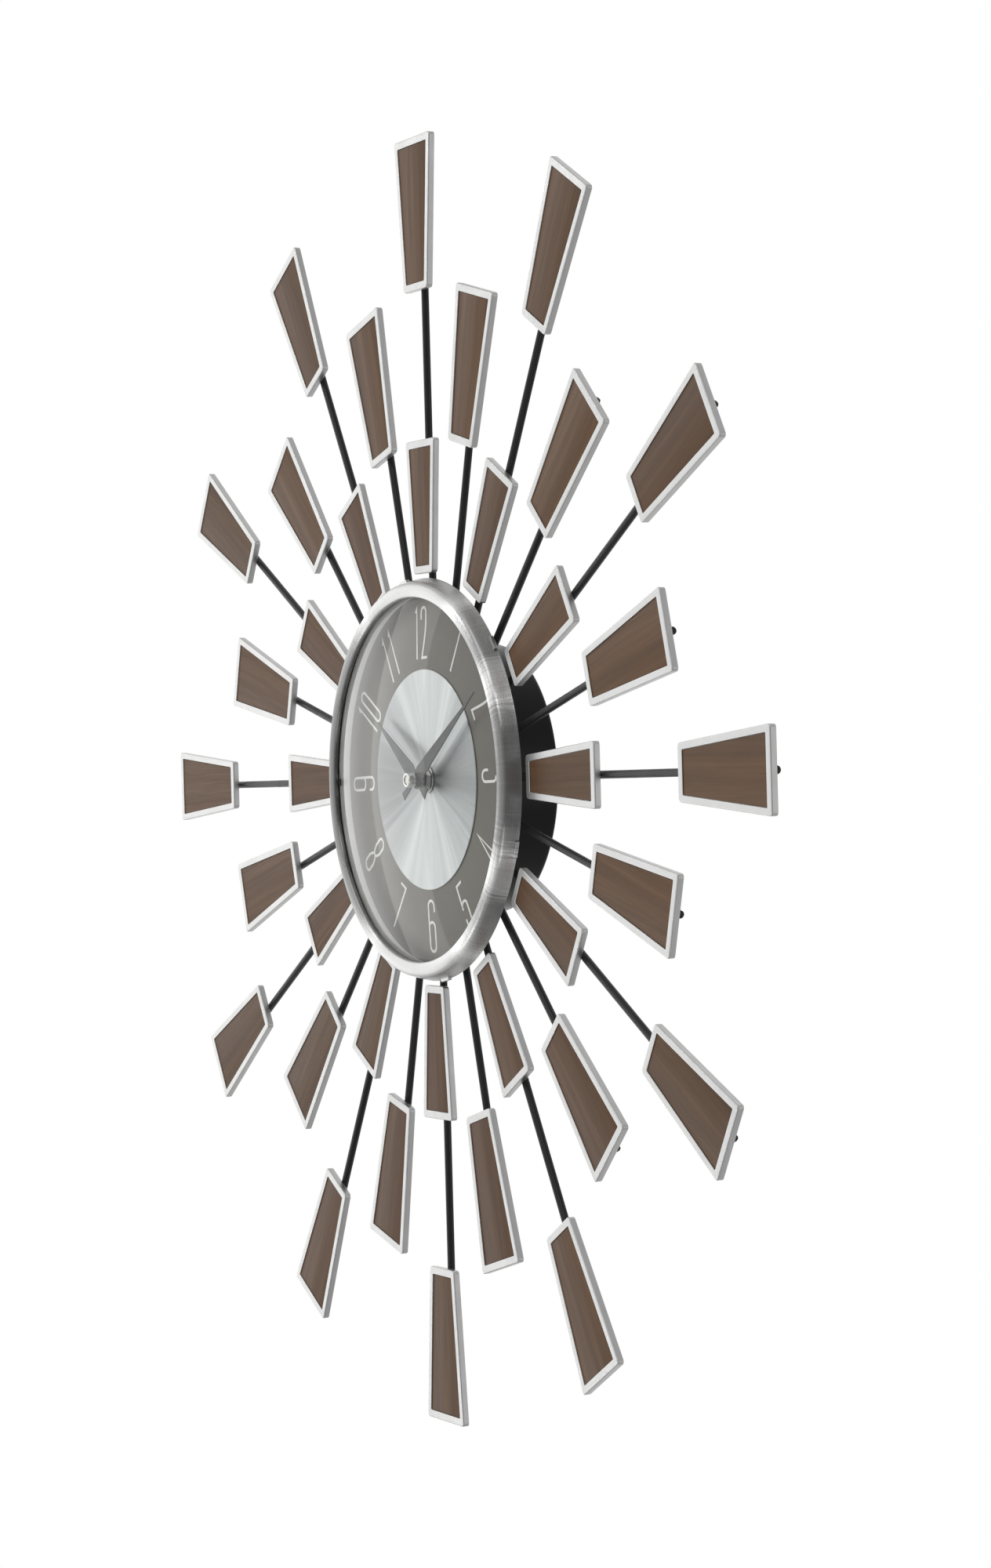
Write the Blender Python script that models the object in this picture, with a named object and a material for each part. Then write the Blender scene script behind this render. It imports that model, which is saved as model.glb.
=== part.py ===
"""Sunburst wall clock, 610 mm across.

Frame: the hands turn about the Y axis, 12 o'clock is +Z, 3 o'clock is +X, and
the dial faces -Y. The plane Y = 0 is the wall. Depths in this file are in
millimetres behind the plane of the walnut panels, and depth() turns one into Y.
"""

import math

import bmesh
import bpy
from mathutils import Matrix, Vector

MM = 0.001

# ---------------------------------------------------------------- dimensions
PANEL_PLANE = 35.2          # walnut panels' front, in front of the wall
SEGMENTS = 40               # sides of the large turned parts

# Rays: 24 rods, one each 15 degrees
RAYS = 24
ROD_R = 1.8
ROD_SIDES = 10
ROD_DEPTH = 4.9             # rod centre line
ROD_START = 57.0
ROD_END_HOUR = 301.5
ROD_END_HALF = 230.6
HUB_R = 62.0
HUB_FRONT, HUB_BACK = 3.1, 6.7

# Trays: (inner radius, outer radius, half width inside, half width outside)
TRAY_INNER = (97.9, 161.2, 9.9, 15.0)
TRAY_MIDDLE = (160.7, 233.4, 12.4, 18.7)
TRAY_OUTER = (232.1, 304.8, 12.4, 18.7)
TRAY_FRONT, TRAY_BACK = -0.4, 2.8
TRAY_BORDER_END, TRAY_BORDER_SIDE = 3.6, 3.2
TRAY_CORNER = 1.6

# Case
DRUM_R, DRUM_WALL = 64.4, 1.3
DRUM_FRONT, DRUM_REAR = 7.0, 35.2
COVER_R, COVER_FRONT, COVER_REAR = 62.5, 34.0, 35.2
KEYHOLE_Z, KEYHOLE_R, KEYSLOT_R, KEYSLOT_RISE = 38.0, 5.0, 2.5, 10.0
WINDOW_W, WINDOW_LOW, WINDOW_HIGH = 54.0, -34.0, -12.0

# Dial
BEZEL_OPENING_R, BEZEL_R, BEZEL_REAR = 86.3, 95.5, -0.9
LENS_APEX, LENS_EDGE, LENS_POWER, LENS_R = -17.6, -6.8, 2.4, 86.0
DIAL_R, DIAL_HOLE_R = 87.6, 50.0
DIAL_FRONT, DIAL_BACK = -1.2, 0.2
DISC_R, DISC_RIM, DISC_CENTRE, DISC_T = 52.4, -2.0, -0.3, 0.5

# Hands: time shown is about ten past ten
MINUTE_ANGLE = 58.0
HOUR_ANGLE = 300.0 + MINUTE_ANGLE / 12.0
MINUTE_LENGTH, MINUTE_TAIL = 75.0, 15.0
HOUR_LENGTH, HOUR_TAIL = 50.0, 12.0

# Movement: 56 x 56 mm quartz, AA cell across the bottom
MOVE_HALF_W, MOVE_LOW, MOVE_HIGH = 28.0, -30.5, 25.5
MOVE_FRONT, MOVE_SPLIT, MOVE_REAR = 9.6, 20.0, 27.0
MOVE_WALL = 1.2
BUSH_R, BUSH_BORE, BUSH_END = 4.0, 3.2, -4.5
TUBE_R, TUBE_BORE = 3.1, 2.0
ARBOR_R = 1.9
CELL_R, CELL_LENGTH, CELL_Z, CELL_DEPTH = 7.1, 49.0, -21.0, 19.6

# Train: teeth and module
CANNON_T, MOTION_T, MOTION_MODULE = 12, 36, 0.5
MOTION_PINION_T, HOUR_T, HOUR_MODULE = 10, 40, 0.48
CENTRE_T, THIRD_PINION_T, CENTRE_MODULE = 60, 8, 0.4
THIRD_T, THIRD_MODULE = 60, 0.35
KNOB_T = 12
MOTION_DISTANCE = (CANNON_T + MOTION_T) * MOTION_MODULE / 2
THIRD_DISTANCE = (CENTRE_T + THIRD_PINION_T) * CENTRE_MODULE / 2
KNOB_DISTANCE = (KNOB_T + MOTION_T) * MOTION_MODULE / 2
MOTION_DIRECTION, THIRD_DIRECTION, KNOB_DIRECTION = 35.0, 150.0, -20.0  # from +X towards +Z


def depth(d):
    """Y of a depth, in metres."""
    return (d - PANEL_PLANE) * MM


def polar(distance, direction, start=(0.0, 0.0)):
    a = math.radians(direction)
    return start[0] + distance * math.cos(a), start[1] + distance * math.sin(a)


MOTION_AT = polar(MOTION_DISTANCE, MOTION_DIRECTION)
THIRD_AT = polar(THIRD_DISTANCE, THIRD_DIRECTION)
KNOB_AT = polar(KNOB_DISTANCE, KNOB_DIRECTION, MOTION_AT)

# ---------------------------------------------------------------- scene start
for old in list(bpy.data.objects):
    bpy.data.objects.remove(old, do_unlink=True)


def material(name, colour, roughness, metallic=0.0, transmission=0.0):
    mat = bpy.data.materials.new(name)
    mat.use_nodes = True
    shader = mat.node_tree.nodes["Principled BSDF"]
    shader.inputs["Base Color"].default_value = (*colour, 1.0)
    shader.inputs["Roughness"].default_value = roughness
    shader.inputs["Metallic"].default_value = metallic
    shader.inputs["Transmission Weight"].default_value = transmission
    mat.diffuse_color = (*colour, 1.0)
    return mat


# ---------------------------------------------------------------- mesh tools
def finish(name, bm, mat, smooth=35.0, location=(0, 0, 0), rotation=(0, 0, 0)):
    """Object from a bmesh, closed and facing out, shaded smooth under the given angle."""
    bmesh.ops.remove_doubles(bm, verts=bm.verts, dist=1e-7)
    bmesh.ops.recalc_face_normals(bm, faces=bm.faces)
    mesh = bpy.data.meshes.new(name)
    bm.to_mesh(mesh)
    bm.free()
    if mat is not None:
        mesh.materials.append(mat)
    if smooth:
        mesh.shade_smooth()
        mesh.set_sharp_from_angle(angle=math.radians(smooth))
    return place(name, mesh, location, rotation)


def place(name, mesh, location=(0, 0, 0), rotation=(0, 0, 0)):
    obj = bpy.data.objects.new(name, mesh)
    bpy.context.scene.collection.objects.link(obj)
    obj.location = location
    obj.rotation_euler = rotation
    return obj


def turn(bm, profile, segments=SEGMENTS):
    """Spins a profile of (radius, depth) about Y. A closed ring if it stays off the axis."""
    verts = [bm.verts.new((r * MM, depth(d), 0)) for r, d in profile]
    loop = all(r > 0 for r, _ in profile)
    pairs = list(zip(verts, verts[1:])) + ([(verts[-1], verts[0])] if loop else [])
    edges = [bm.edges.new(pair) for pair in pairs]
    bmesh.ops.spin(
        bm, geom=verts + edges, cent=(0, 0, 0), axis=(0, 1, 0), dvec=(0, 0, 0),
        angle=math.tau, steps=segments, use_merge=True, use_duplicate=False,
    )
    return bm


def turned(name, profile, mat, segments=SEGMENTS, smooth=35.0, at=(0.0, 0.0)):
    return finish(name, turn(bmesh.new(), profile, segments), mat, smooth, (at[0] * MM, 0, at[1] * MM))


def slab(bm, outline, front, back):
    """Extrudes an outline of (x, z) between two depths."""
    face = bm.faces.new([bm.verts.new((x * MM, depth(front), z * MM)) for x, z in outline])
    made = bmesh.ops.extrude_face_region(bm, geom=[face])
    moved = [v for v in made["geom"] if isinstance(v, bmesh.types.BMVert)]
    bmesh.ops.translate(bm, verts=moved, vec=(0, (back - front) * MM, 0))
    return bm


def ring_slab(bm, outline, hole, front, back):
    """Extrudes an outline with a hole of as many points."""
    loops = []
    for d in (front, back):
        loops.append([[bm.verts.new((x * MM, depth(d), z * MM)) for x, z in pts] for pts in (outline, hole)])
    (of, hf), (ob, hb) = loops
    for a, b in ((of, hf), (ob, hb), (of, ob), (hf, hb)):
        n = len(a)
        for i in range(n):
            j = (i + 1) % n
            bm.faces.new((a[i], a[j], b[j], b[i]))
    return bm


def circle(r, n, at=(0.0, 0.0), start=0.0):
    return [(at[0] + r * math.cos(start + math.tau * i / n), at[1] + r * math.sin(start + math.tau * i / n)) for i in range(n)]


def box(bm, x0, x1, d0, d1, z0, z1):
    return slab(bm, [(x0, z0), (x1, z0), (x1, z1), (x0, z1)], d0, d1)


def boolean(obj, operation, helper):
    helper.hide_render = True
    helper.display_type = "WIRE"
    mod = obj.modifiers.new(operation.title() + " " + helper.name, "BOOLEAN")
    mod.operation = operation
    mod.solver = "EXACT"
    mod.object = helper
    return mod


def gear_outline(teeth, module, steps=3, backlash=0.2):
    """Involute teeth with some backlash: one tooth centred on +X. Backlash is in modules."""
    alpha = math.radians(20.0)
    pitch = teeth * module / 2
    base = pitch * math.cos(alpha)
    tip = pitch + 0.85 * module
    root = max(pitch - 1.2 * module, 0.55 * pitch)
    inv = math.tan(alpha) - alpha
    half = math.pi / (2 * teeth) - backlash * module / (2 * pitch)
    flank = []
    start = max(base, root + 0.05 * module)
    for i in range(steps + 1):
        r = start + (tip - start) * i / steps
        a = math.acos(min(1.0, base / r))
        flank.append((r, half + inv - (math.tan(a) - a)))
    if start - root > 0.15 * module:
        flank.insert(0, (root, flank[0][1]))
    points = []
    for k in range(teeth):
        mid = math.tau * k / teeth
        points += [(r, mid - w) for r, w in flank]
        points += [(r, mid + w) for r, w in reversed(flank)]
    return [(r * math.cos(a), r * math.sin(a)) for r, a in points]


def rotated(points, angle):
    c, s = math.cos(angle), math.sin(angle)
    return [(x * c - z * s, x * s + z * c) for x, z in points]


def hole_for(outline, r):
    """A circle with one point at each outline point's own angle."""
    return [(r * math.cos(a), r * math.sin(a)) for a in (math.atan2(z, x) for x, z in outline)]


def hand_outline(length, tail, wide_at, half_wide, half_tail, half_waist, tip):
    side = [(-tail, half_tail), (-2.5, half_waist), (wide_at, half_wide), (length - 0.6, tip)]
    return side


# ---------------------------------------------------------------- materials
aluminium = material("satin_aluminium", (0.62, 0.63, 0.63), 0.32, 1.0)
polished = material("polished_aluminium", (0.72, 0.72, 0.73), 0.18, 1.0)
black_rod = material("satin_black", (0.012, 0.012, 0.013), 0.38)
black_gloss = material("gloss_black", (0.008, 0.008, 0.009), 0.08)
grey_pan = material("pan_grey", (0.44, 0.435, 0.42), 0.45)
board = material("cover_board", (0.03, 0.028, 0.026), 0.8)
glass = material("lens_glass", (0.95, 0.97, 0.96), 0.03, 0.0, 1.0)
taupe = material("dial_taupe", (0.24, 0.225, 0.205), 0.42, 0.6)
spun = material("dial_spun", (0.78, 0.79, 0.79), 0.25, 1.0)
nickel = material("nickel", (0.60, 0.58, 0.54), 0.25, 1.0)
hand_grey = material("hand_grey", (0.12, 0.12, 0.125), 0.4, 0.5)
plastic = material("movement_black", (0.02, 0.02, 0.021), 0.5)
cell = material("cell_jacket", (0.05, 0.10, 0.28), 0.35, 0.3)
acetal = material("white_acetal", (0.80, 0.80, 0.77), 0.5)
brass = material("brass", (0.66, 0.48, 0.19), 0.3, 1.0)
copper = material("copper_winding", (0.60, 0.26, 0.12), 0.35, 0.9)
board_green = material("circuit_green", (0.02, 0.14, 0.06), 0.5)
rubber = material("rubber", (0.02, 0.02, 0.02), 0.9)

# ---------------------------------------------------------------- rays
# The rods and their hub plate are one weldment: the rods' inner ends are welded into the rim.
hub_bm = bmesh.new()
turn(hub_bm, [(4.6, HUB_FRONT), (HUB_R, HUB_FRONT), (HUB_R, HUB_BACK), (4.6, HUB_BACK)], 72)
spoke_frame = finish("spoke_frame", hub_bm, black_rod, 30.0)
rods_bm = bmesh.new()
for ray in range(RAYS):
    angle = math.tau * ray / RAYS
    end = ROD_END_HOUR if ray % 2 == 0 else ROD_END_HALF
    length = end - ROD_START
    spin = Matrix.Rotation(angle, 4, "Y")
    middle = Matrix.Translation(Vector((0, depth(ROD_DEPTH), (ROD_START + length / 2) * MM)))
    turn_flat = Matrix.Rotation(math.pi / ROD_SIDES, 4, "Z")
    bmesh.ops.create_cone(
        rods_bm, cap_ends=True, segments=ROD_SIDES, radius1=ROD_R * MM, radius2=ROD_R * MM,
        depth=length * MM, matrix=spin @ middle @ turn_flat,
    )
rods = finish("rods_guide", rods_bm, None, 0)
boolean(spoke_frame, "UNION", rods)


def tray_mesh(name, spec):
    """A folded tray with its walnut panel, about its own middle: long axis +Z outwards."""
    r0, r1, w0, w1 = spec
    half = (r1 - r0) / 2
    c = TRAY_CORNER
    slope = (w1 - w0) / (r1 - r0)
    outline = [
        (w0 - c, -half), (w0 + slope * c, -half + c), (w1 - slope * c, half - c), (w1 - c, half),
        (-w1 + c, half), (-w1 + slope * c, half - c), (-w0 - slope * c, -half + c), (-w0 + c, -half),
    ]
    bm = bmesh.new()
    face = bm.faces.new([bm.verts.new((x * MM, (TRAY_FRONT) * MM, z * MM)) for x, z in outline])
    made = bmesh.ops.extrude_face_region(bm, geom=[face])
    moved = [v for v in made["geom"] if isinstance(v, bmesh.types.BMVert)]
    bmesh.ops.translate(bm, verts=moved, vec=(0, (TRAY_BACK - TRAY_FRONT) * MM, 0))
    bmesh.ops.recalc_face_normals(bm, faces=bm.faces)
    bm.faces.ensure_lookup_table()
    front = min(bm.faces, key=lambda f: f.normal.y * 1000 + f.calc_center_median().y)
    # The walnut panel sits 0.4 mm down inside the border.
    e, s = TRAY_BORDER_END, TRAY_BORDER_SIDE
    lip = [
        (w0 + slope * e - s, -half + e), (w1 - slope * e - s, half - e),
        (-(w1 - slope * e - s), half - e), (-(w0 + slope * e - s), -half + e),
    ]
    bmesh.ops.inset_region(bm, faces=[front], thickness=2.2 * MM, depth=0.0)
    inner = sorted(front.verts, key=lambda v: (v.co.z, v.co.x))
    for v in inner:
        corner = min(lip, key=lambda p: (p[0] * MM - v.co.x) ** 2 + (p[1] * MM - v.co.z) ** 2)
        v.co.x, v.co.z = corner[0] * MM, corner[1] * MM
    bmesh.ops.remove_doubles(bm, verts=inner, dist=1e-6)
    front = min(bm.faces, key=lambda f: f.normal.y * 1000 - len(f.verts) * 0 + (f.calc_center_median().xz.length))
    made = bmesh.ops.extrude_face_region(bm, geom=[front])
    moved = [v for v in made["geom"] if isinstance(v, bmesh.types.BMVert)]
    if front.is_valid:
        bm.faces.remove(front)
    bmesh.ops.translate(bm, verts=moved, vec=(0, -TRAY_FRONT * MM, 0))
    bmesh.ops.recalc_face_normals(bm, faces=bm.faces)
    mesh = bpy.data.meshes.new(name)
    bm.to_mesh(mesh)
    bm.free()
    mesh.materials.append(aluminium)
    return mesh


large_tray = tray_mesh("large_tray", TRAY_OUTER)
small_tray = tray_mesh("small_tray", TRAY_INNER)
for ray in range(RAYS):
    angle = math.tau * ray / RAYS
    if ray % 2 == 0:
        pairs = [("plate_inner", small_tray, TRAY_INNER), ("plate_outer", large_tray, TRAY_OUTER)]
    else:
        pairs = [("plate_middle", large_tray, TRAY_MIDDLE)]
    for stem, mesh, spec in pairs:
        r = (spec[0] + spec[1]) / 2 * MM
        place(f"{stem}_{ray:02d}", mesh, (r * math.sin(angle), depth(0), r * math.cos(angle)), (0, angle, 0))

# ---------------------------------------------------------------- case
turned("case_drum", [
    (4.6, DRUM_FRONT), (61.4, DRUM_FRONT), (63.3, 7.7), (DRUM_R, 9.6), (DRUM_R, 33.2),
    (64.2, 34.4), (63.6, DRUM_REAR), (62.9, DRUM_REAR), (62.9, 33.7), (61.8, 33.7),
    (61.8, 9.2), (4.6, 8.3),
], black_gloss, 48)

cover_bm = bmesh.new()
turn(cover_bm, [(0, COVER_FRONT), (COVER_R, COVER_FRONT), (COVER_R, COVER_REAR), (0, COVER_REAR)], 72)
rear_cover = finish("rear_cover", cover_bm, board, 30.0)
cut_bm = bmesh.new()
arch = [(KEYSLOT_R * math.cos(a), KEYHOLE_Z + KEYSLOT_RISE + KEYSLOT_R * math.sin(a)) for a in (math.pi * i / 6 for i in range(7))]
key_a = math.asin(KEYSLOT_R / KEYHOLE_R)
round_part = []
for i in range(17):
    a = math.pi / 2 + key_a + (math.tau - 2 * key_a) * i / 16
    round_part.append((KEYHOLE_R * math.cos(a), KEYHOLE_Z + KEYHOLE_R * math.sin(a)))
slab(cut_bm, arch + round_part, COVER_FRONT - 2, COVER_REAR + 2)
slab(cut_bm, [
    (-WINDOW_W / 2 + 3, WINDOW_LOW), (WINDOW_W / 2 - 3, WINDOW_LOW), (WINDOW_W / 2, WINDOW_LOW + 3),
    (WINDOW_W / 2, WINDOW_HIGH - 3), (WINDOW_W / 2 - 3, WINDOW_HIGH), (-WINDOW_W / 2 + 3, WINDOW_HIGH),
    (-WINDOW_W / 2, WINDOW_HIGH - 3), (-WINDOW_W / 2, WINDOW_LOW + 3),
], COVER_FRONT - 2, COVER_REAR + 2)
slab(cut_bm, circle(8.0, 24, KNOB_AT), COVER_FRONT - 2, COVER_REAR + 2)
boolean(rear_cover, "DIFFERENCE", finish("cover_cutter", cut_bm, None, 0))

turned("dial_pan", [
    (4.6, 0.5), (88.2, 0.5), (88.2, -5.3), (89.6, -5.3), (89.6, -1.2), (94.0, -1.2), (94.0, -0.3),
    (91.0, -0.3), (91.0, 1.3), (61.0, 1.3), (61.0, 2.8), (40.0, 2.8), (40.0, 1.3), (4.6, 1.3),
], grey_pan)

bezel = turned("bezel", [
    (BEZEL_OPENING_R, -7.2), (86.4, -8.8), (87.4, -9.5), (89.6, -9.75), (91.7, -9.5),
    (93.1, -8.7), (94.0, -6.6), (94.8, -3.8), (BEZEL_R, BEZEL_REAR), (94.4, BEZEL_REAR),
    (93.7, -3.9), (92.8, -6.6), (91.7, -8.1), (90.0, -8.5), (88.0, -8.3), (87.2, -7.2),
], polished, 56)
tabs_bm = bmesh.new()
for k in range(6):
    angle = math.radians(50.0 + 60.0 * k)
    made = bmesh.ops.create_cube(tabs_bm, size=1.0)["verts"]
    bmesh.ops.scale(tabs_bm, vec=(8.0 * MM, 2.0 * MM, 1.6 * MM), verts=made)
    bmesh.ops.translate(tabs_bm, vec=(0, depth(-2.0), 95.7 * MM), verts=made)
    bmesh.ops.rotate(tabs_bm, cent=(0, 0, 0), matrix=Matrix.Rotation(angle, 3, "Y"), verts=made)
boolean(bezel, "UNION", finish("bezel_tabs_guide", tabs_bm, None, 0))

lens_outer, lens_inner = [], []
for i in range(9):
    r = LENS_R * i / 8
    d = LENS_EDGE + (LENS_APEX - LENS_EDGE) * (1 - (r / LENS_R) ** LENS_POWER)
    lens_outer.append((r, d))
    lens_inner.append((r, d + 1.1))
turned("lens", lens_outer + [(89.8, LENS_EDGE)] + [(89.8, LENS_EDGE + 1.2)] + list(reversed(lens_inner)), glass)

turned("dial_plate", [(DIAL_HOLE_R, DIAL_FRONT), (DIAL_R, DIAL_FRONT), (DIAL_R, DIAL_BACK), (DIAL_HOLE_R, DIAL_BACK)], taupe)
turned("dial_centre", [
    (4.4, DISC_CENTRE), (DISC_R, DISC_RIM), (DISC_R, DISC_RIM + DISC_T), (4.4, DISC_CENTRE + DISC_T),
], spun)

# ---------------------------------------------------------------- dial fixings
turned("dial_washer", [(4.4, -1.4), (6.2, -1.4), (6.5, -1.2), (6.5, -0.8), (4.4, -0.8)], nickel, 28)
nut_bm = bmesh.new()
hexagon = circle(6.1, 6, start=math.radians(12))
dense = []
for i in range(6):
    (x0, z0), (x1, z1) = hexagon[i], hexagon[(i + 1) % 6]
    dense += [(x0 + (x1 - x0) * t / 4, z0 + (z1 - z0) * t / 4) for t in range(4)]
ring_slab(nut_bm, dense, hole_for(dense, 4.3), -3.9, -1.7)
finish("dial_nut", nut_bm, nickel, 30.0)
turned("cap_nut", [
    (2.05, -7.9), (3.55, -7.9), (3.6, -8.1), (3.6, -11.7), (3.1, -12.3), (2.3, -12.3), (2.05, -12.0),
], nickel, 28)

# ---------------------------------------------------------------- hands


def hand(name, side, boss_r, hole_r, front, back, angle):
    """A flat hand along +Z about the axis, from its half outline of (along, half width)."""
    n = 32
    ring = []
    tail_u, tail_w = side[0]
    tip_u, tip_w = side[-1]
    right = [(w, u) for u, w in side]
    left = [(-w, u) for u, w in reversed(side)]
    # The blade, and a round boss joined to it by a Boolean union.
    bm = slab(bmesh.new(), right + left, front, back)
    blade = finish(name, bm, hand_grey, 30.0, rotation=(0, math.radians(angle), 0))
    boss_bm = slab(bmesh.new(), circle(boss_r, n), front, back)
    boss = finish(name + "_boss_guide", boss_bm, None, 0)
    boolean(blade, "UNION", boss)
    hole_bm = slab(bmesh.new(), circle(hole_r, n), front - 1, back + 1)
    boolean(blade, "DIFFERENCE", finish(name + "_hole_cutter", hole_bm, None, 0))
    return blade


hand("hour_hand", hand_outline(HOUR_LENGTH, HOUR_TAIL, 7.0, 4.15, 3.0, 1.5, 0.25), 4.4, 3.25, -6.8, -6.4, HOUR_ANGLE)
hand("minute_hand", hand_outline(MINUTE_LENGTH, MINUTE_TAIL, 5.6, 3.95, 2.0, 1.1, 0.2), 3.5, 2.05, -7.6, -7.2, MINUTE_ANGLE)

# ---------------------------------------------------------------- movement
case_bm = bmesh.new()
box(case_bm, -MOVE_HALF_W, MOVE_HALF_W, MOVE_FRONT, MOVE_SPLIT, MOVE_LOW, MOVE_HIGH)
movement_case = finish("movement_case", case_bm, plastic, 30.0)
cavity_bm = bmesh.new()
box(cavity_bm, -MOVE_HALF_W + MOVE_WALL, MOVE_HALF_W - MOVE_WALL, MOVE_FRONT + MOVE_WALL, MOVE_SPLIT + 1, MOVE_LOW + MOVE_WALL, MOVE_HIGH - MOVE_WALL)
boolean(movement_case, "DIFFERENCE", finish("case_cavity_cutter", cavity_bm, None, 0))
posts_bm = bmesh.new()
slab(posts_bm, circle(BUSH_R, 32), BUSH_END, MOVE_FRONT + MOVE_WALL)
slab(posts_bm, circle(0.8, 16, MOTION_AT), MOVE_FRONT + 0.5, 15.3)
slab(posts_bm, circle(0.8, 16, THIRD_AT), MOVE_FRONT + 0.5, 19.5)
slab(posts_bm, circle(0.8, 16, KNOB_AT), MOVE_FRONT + 0.5, 13.2)
boolean(movement_case, "UNION", finish("case_posts_guide", posts_bm, None, 0))
bore_bm = slab(bmesh.new(), circle(BUSH_BORE, 32), BUSH_END - 1, MOVE_FRONT + MOVE_WALL + 1)
boolean(movement_case, "DIFFERENCE", finish("case_bore_cutter", bore_bm, None, 0))

back_bm = bmesh.new()
box(back_bm, -MOVE_HALF_W, MOVE_HALF_W, MOVE_SPLIT + 0.3, MOVE_SPLIT + 1.5, MOVE_LOW, MOVE_HIGH)
movement_back = finish("movement_back", back_bm, plastic, 30.0)
trough_bm = bmesh.new()
box(trough_bm, -26.3, 26.3, 11.3, MOVE_REAR, -28.9, -12.8)
boolean(movement_back, "UNION", finish("back_trough_guide", trough_bm, None, 0))
bay_bm = bmesh.new()
box(bay_bm, -25.3, 25.3, 12.0, MOVE_REAR + 1, -28.3, -13.6)
slab(bay_bm, circle(1.75, 24, KNOB_AT), MOVE_SPLIT - 1, MOVE_SPLIT + 3)
slab(bay_bm, circle(0.9, 24), MOVE_SPLIT - 1, MOVE_SPLIT + 3)
boolean(movement_back, "DIFFERENCE", finish("back_bay_cutter", bay_bm, None, 0))

battery_bm = bmesh.new()
half = CELL_LENGTH / 2
cell_profile = [(0, -half), (CELL_R - 0.5, -half), (CELL_R, -half + 0.6), (CELL_R, half - 1.4), (CELL_R - 0.6, half - 0.9), (2.7, half - 0.9), (2.6, half), (0, half)]
cell_verts = [battery_bm.verts.new((u * MM, 0, r * MM)) for r, u in cell_profile]
cell_edges = [battery_bm.edges.new(pair) for pair in zip(cell_verts, cell_verts[1:])]
bmesh.ops.spin(battery_bm, geom=cell_verts + cell_edges, cent=(0, 0, 0), axis=(1, 0, 0), dvec=(0, 0, 0), angle=math.tau, steps=24, use_merge=True, use_duplicate=False)
finish("battery", battery_bm, cell, 35.0, (0, depth(CELL_DEPTH), CELL_Z * MM))

turned("mount_gasket", [(4.6, 8.6), (14.0, 8.6), (14.0, 9.3), (4.6, 9.3)], rubber, 32)

board_bm = box(bmesh.new(), 13.0, 26.0, 11.4, 12.4, 11.0, 23.6)
finish("circuit_board", board_bm, board_green, 0)

coil_bm = bmesh.new()
coil_profile = [(0, -10.0), (1.2, -10.0), (1.2, -9.0), (3.0, -9.0), (3.0, -8.2), (2.6, -8.0), (2.6, 8.0), (3.0, 8.2), (3.0, 9.0), (1.2, 9.0), (1.2, 10.0), (0, 10.0)]
coil_verts = [coil_bm.verts.new((u * MM, 0, r * MM)) for r, u in coil_profile]
coil_edges = [coil_bm.edges.new(pair) for pair in zip(coil_verts, coil_verts[1:])]
bmesh.ops.spin(coil_bm, geom=coil_verts + coil_edges, cent=(0, 0, 0), axis=(1, 0, 0), dvec=(0, 0, 0), angle=math.tau, steps=16, use_merge=True, use_duplicate=False)
finish("stepper_coil", coil_bm, copper, 35.0, (-14.0 * MM, depth(15.0), 21.0 * MM))


# ---------------------------------------------------------------- wheels
# Every pair is in mesh at rest: a tooth of one points at a gap of the other.
def mesh_phase(teeth, direction, gap):
    """Rotation that puts a tooth, or with gap a space, at a direction in degrees."""
    return math.radians(direction) + (math.pi / teeth if gap else 0.0)


def wheel(name, mat, at, gears, plain=(), bore=0.0, sides=24):
    """One turning piece: gears of (outline, front, back), stacked with plain discs (r, front, back)."""
    first = True
    obj = None
    for k, (outline, front, back) in enumerate(gears):
        bm = slab(bmesh.new(), outline, front, back)
        if first:
            obj = finish(name, bm, mat, 25.0, (at[0] * MM, 0, at[1] * MM))
            first = False
        else:
            boolean(obj, "UNION", finish(f"{name}_gear_guide_{k}", bm, None, 0, (at[0] * MM, 0, at[1] * MM)))
    for k, (r, front, back) in enumerate(plain):
        bm = slab(bmesh.new(), circle(r, sides), front, back)
        boolean(obj, "UNION", finish(f"{name}_disc_guide_{k}", bm, None, 0, (at[0] * MM, 0, at[1] * MM)))
    if bore:
        bm = slab(bmesh.new(), circle(bore, sides), -60, 60)
        boolean(obj, "DIFFERENCE", finish(f"{name}_bore_cutter", bm, None, 0, (at[0] * MM, 0, at[1] * MM)))
    return obj


cannon = rotated(gear_outline(CANNON_T, MOTION_MODULE, 2), mesh_phase(CANNON_T, MOTION_DIRECTION, False))
centre = rotated(gear_outline(CENTRE_T, CENTRE_MODULE, 1), mesh_phase(CENTRE_T, THIRD_DIRECTION, False))
wheel("centre_arbor", brass, (0, 0), [(cannon, 13.4, 15.0), (centre, 16.2, 17.2)],
      [(ARBOR_R, -11.8, 17.6), (0.8, 17.3, 21.2)])

motion = rotated(gear_outline(MOTION_T, MOTION_MODULE, 1), mesh_phase(MOTION_T, MOTION_DIRECTION + 180.0, True))
motion_pinion = rotated(gear_outline(MOTION_PINION_T, HOUR_MODULE, 2), mesh_phase(MOTION_PINION_T, MOTION_DIRECTION + 180.0, False))
wheel("motion_wheel", acetal, MOTION_AT, [(motion, 13.6, 14.8), (motion_pinion, 11.6, 13.8)], (), 0.9, 16)

hour = rotated(gear_outline(HOUR_T, HOUR_MODULE, 1), mesh_phase(HOUR_T, MOTION_DIRECTION, True))
wheel("hour_wheel", acetal, (0, 0), [(hour, 12.0, 13.0)], [(TUBE_R, -6.9, 12.5)], TUBE_BORE, 32)

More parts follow.
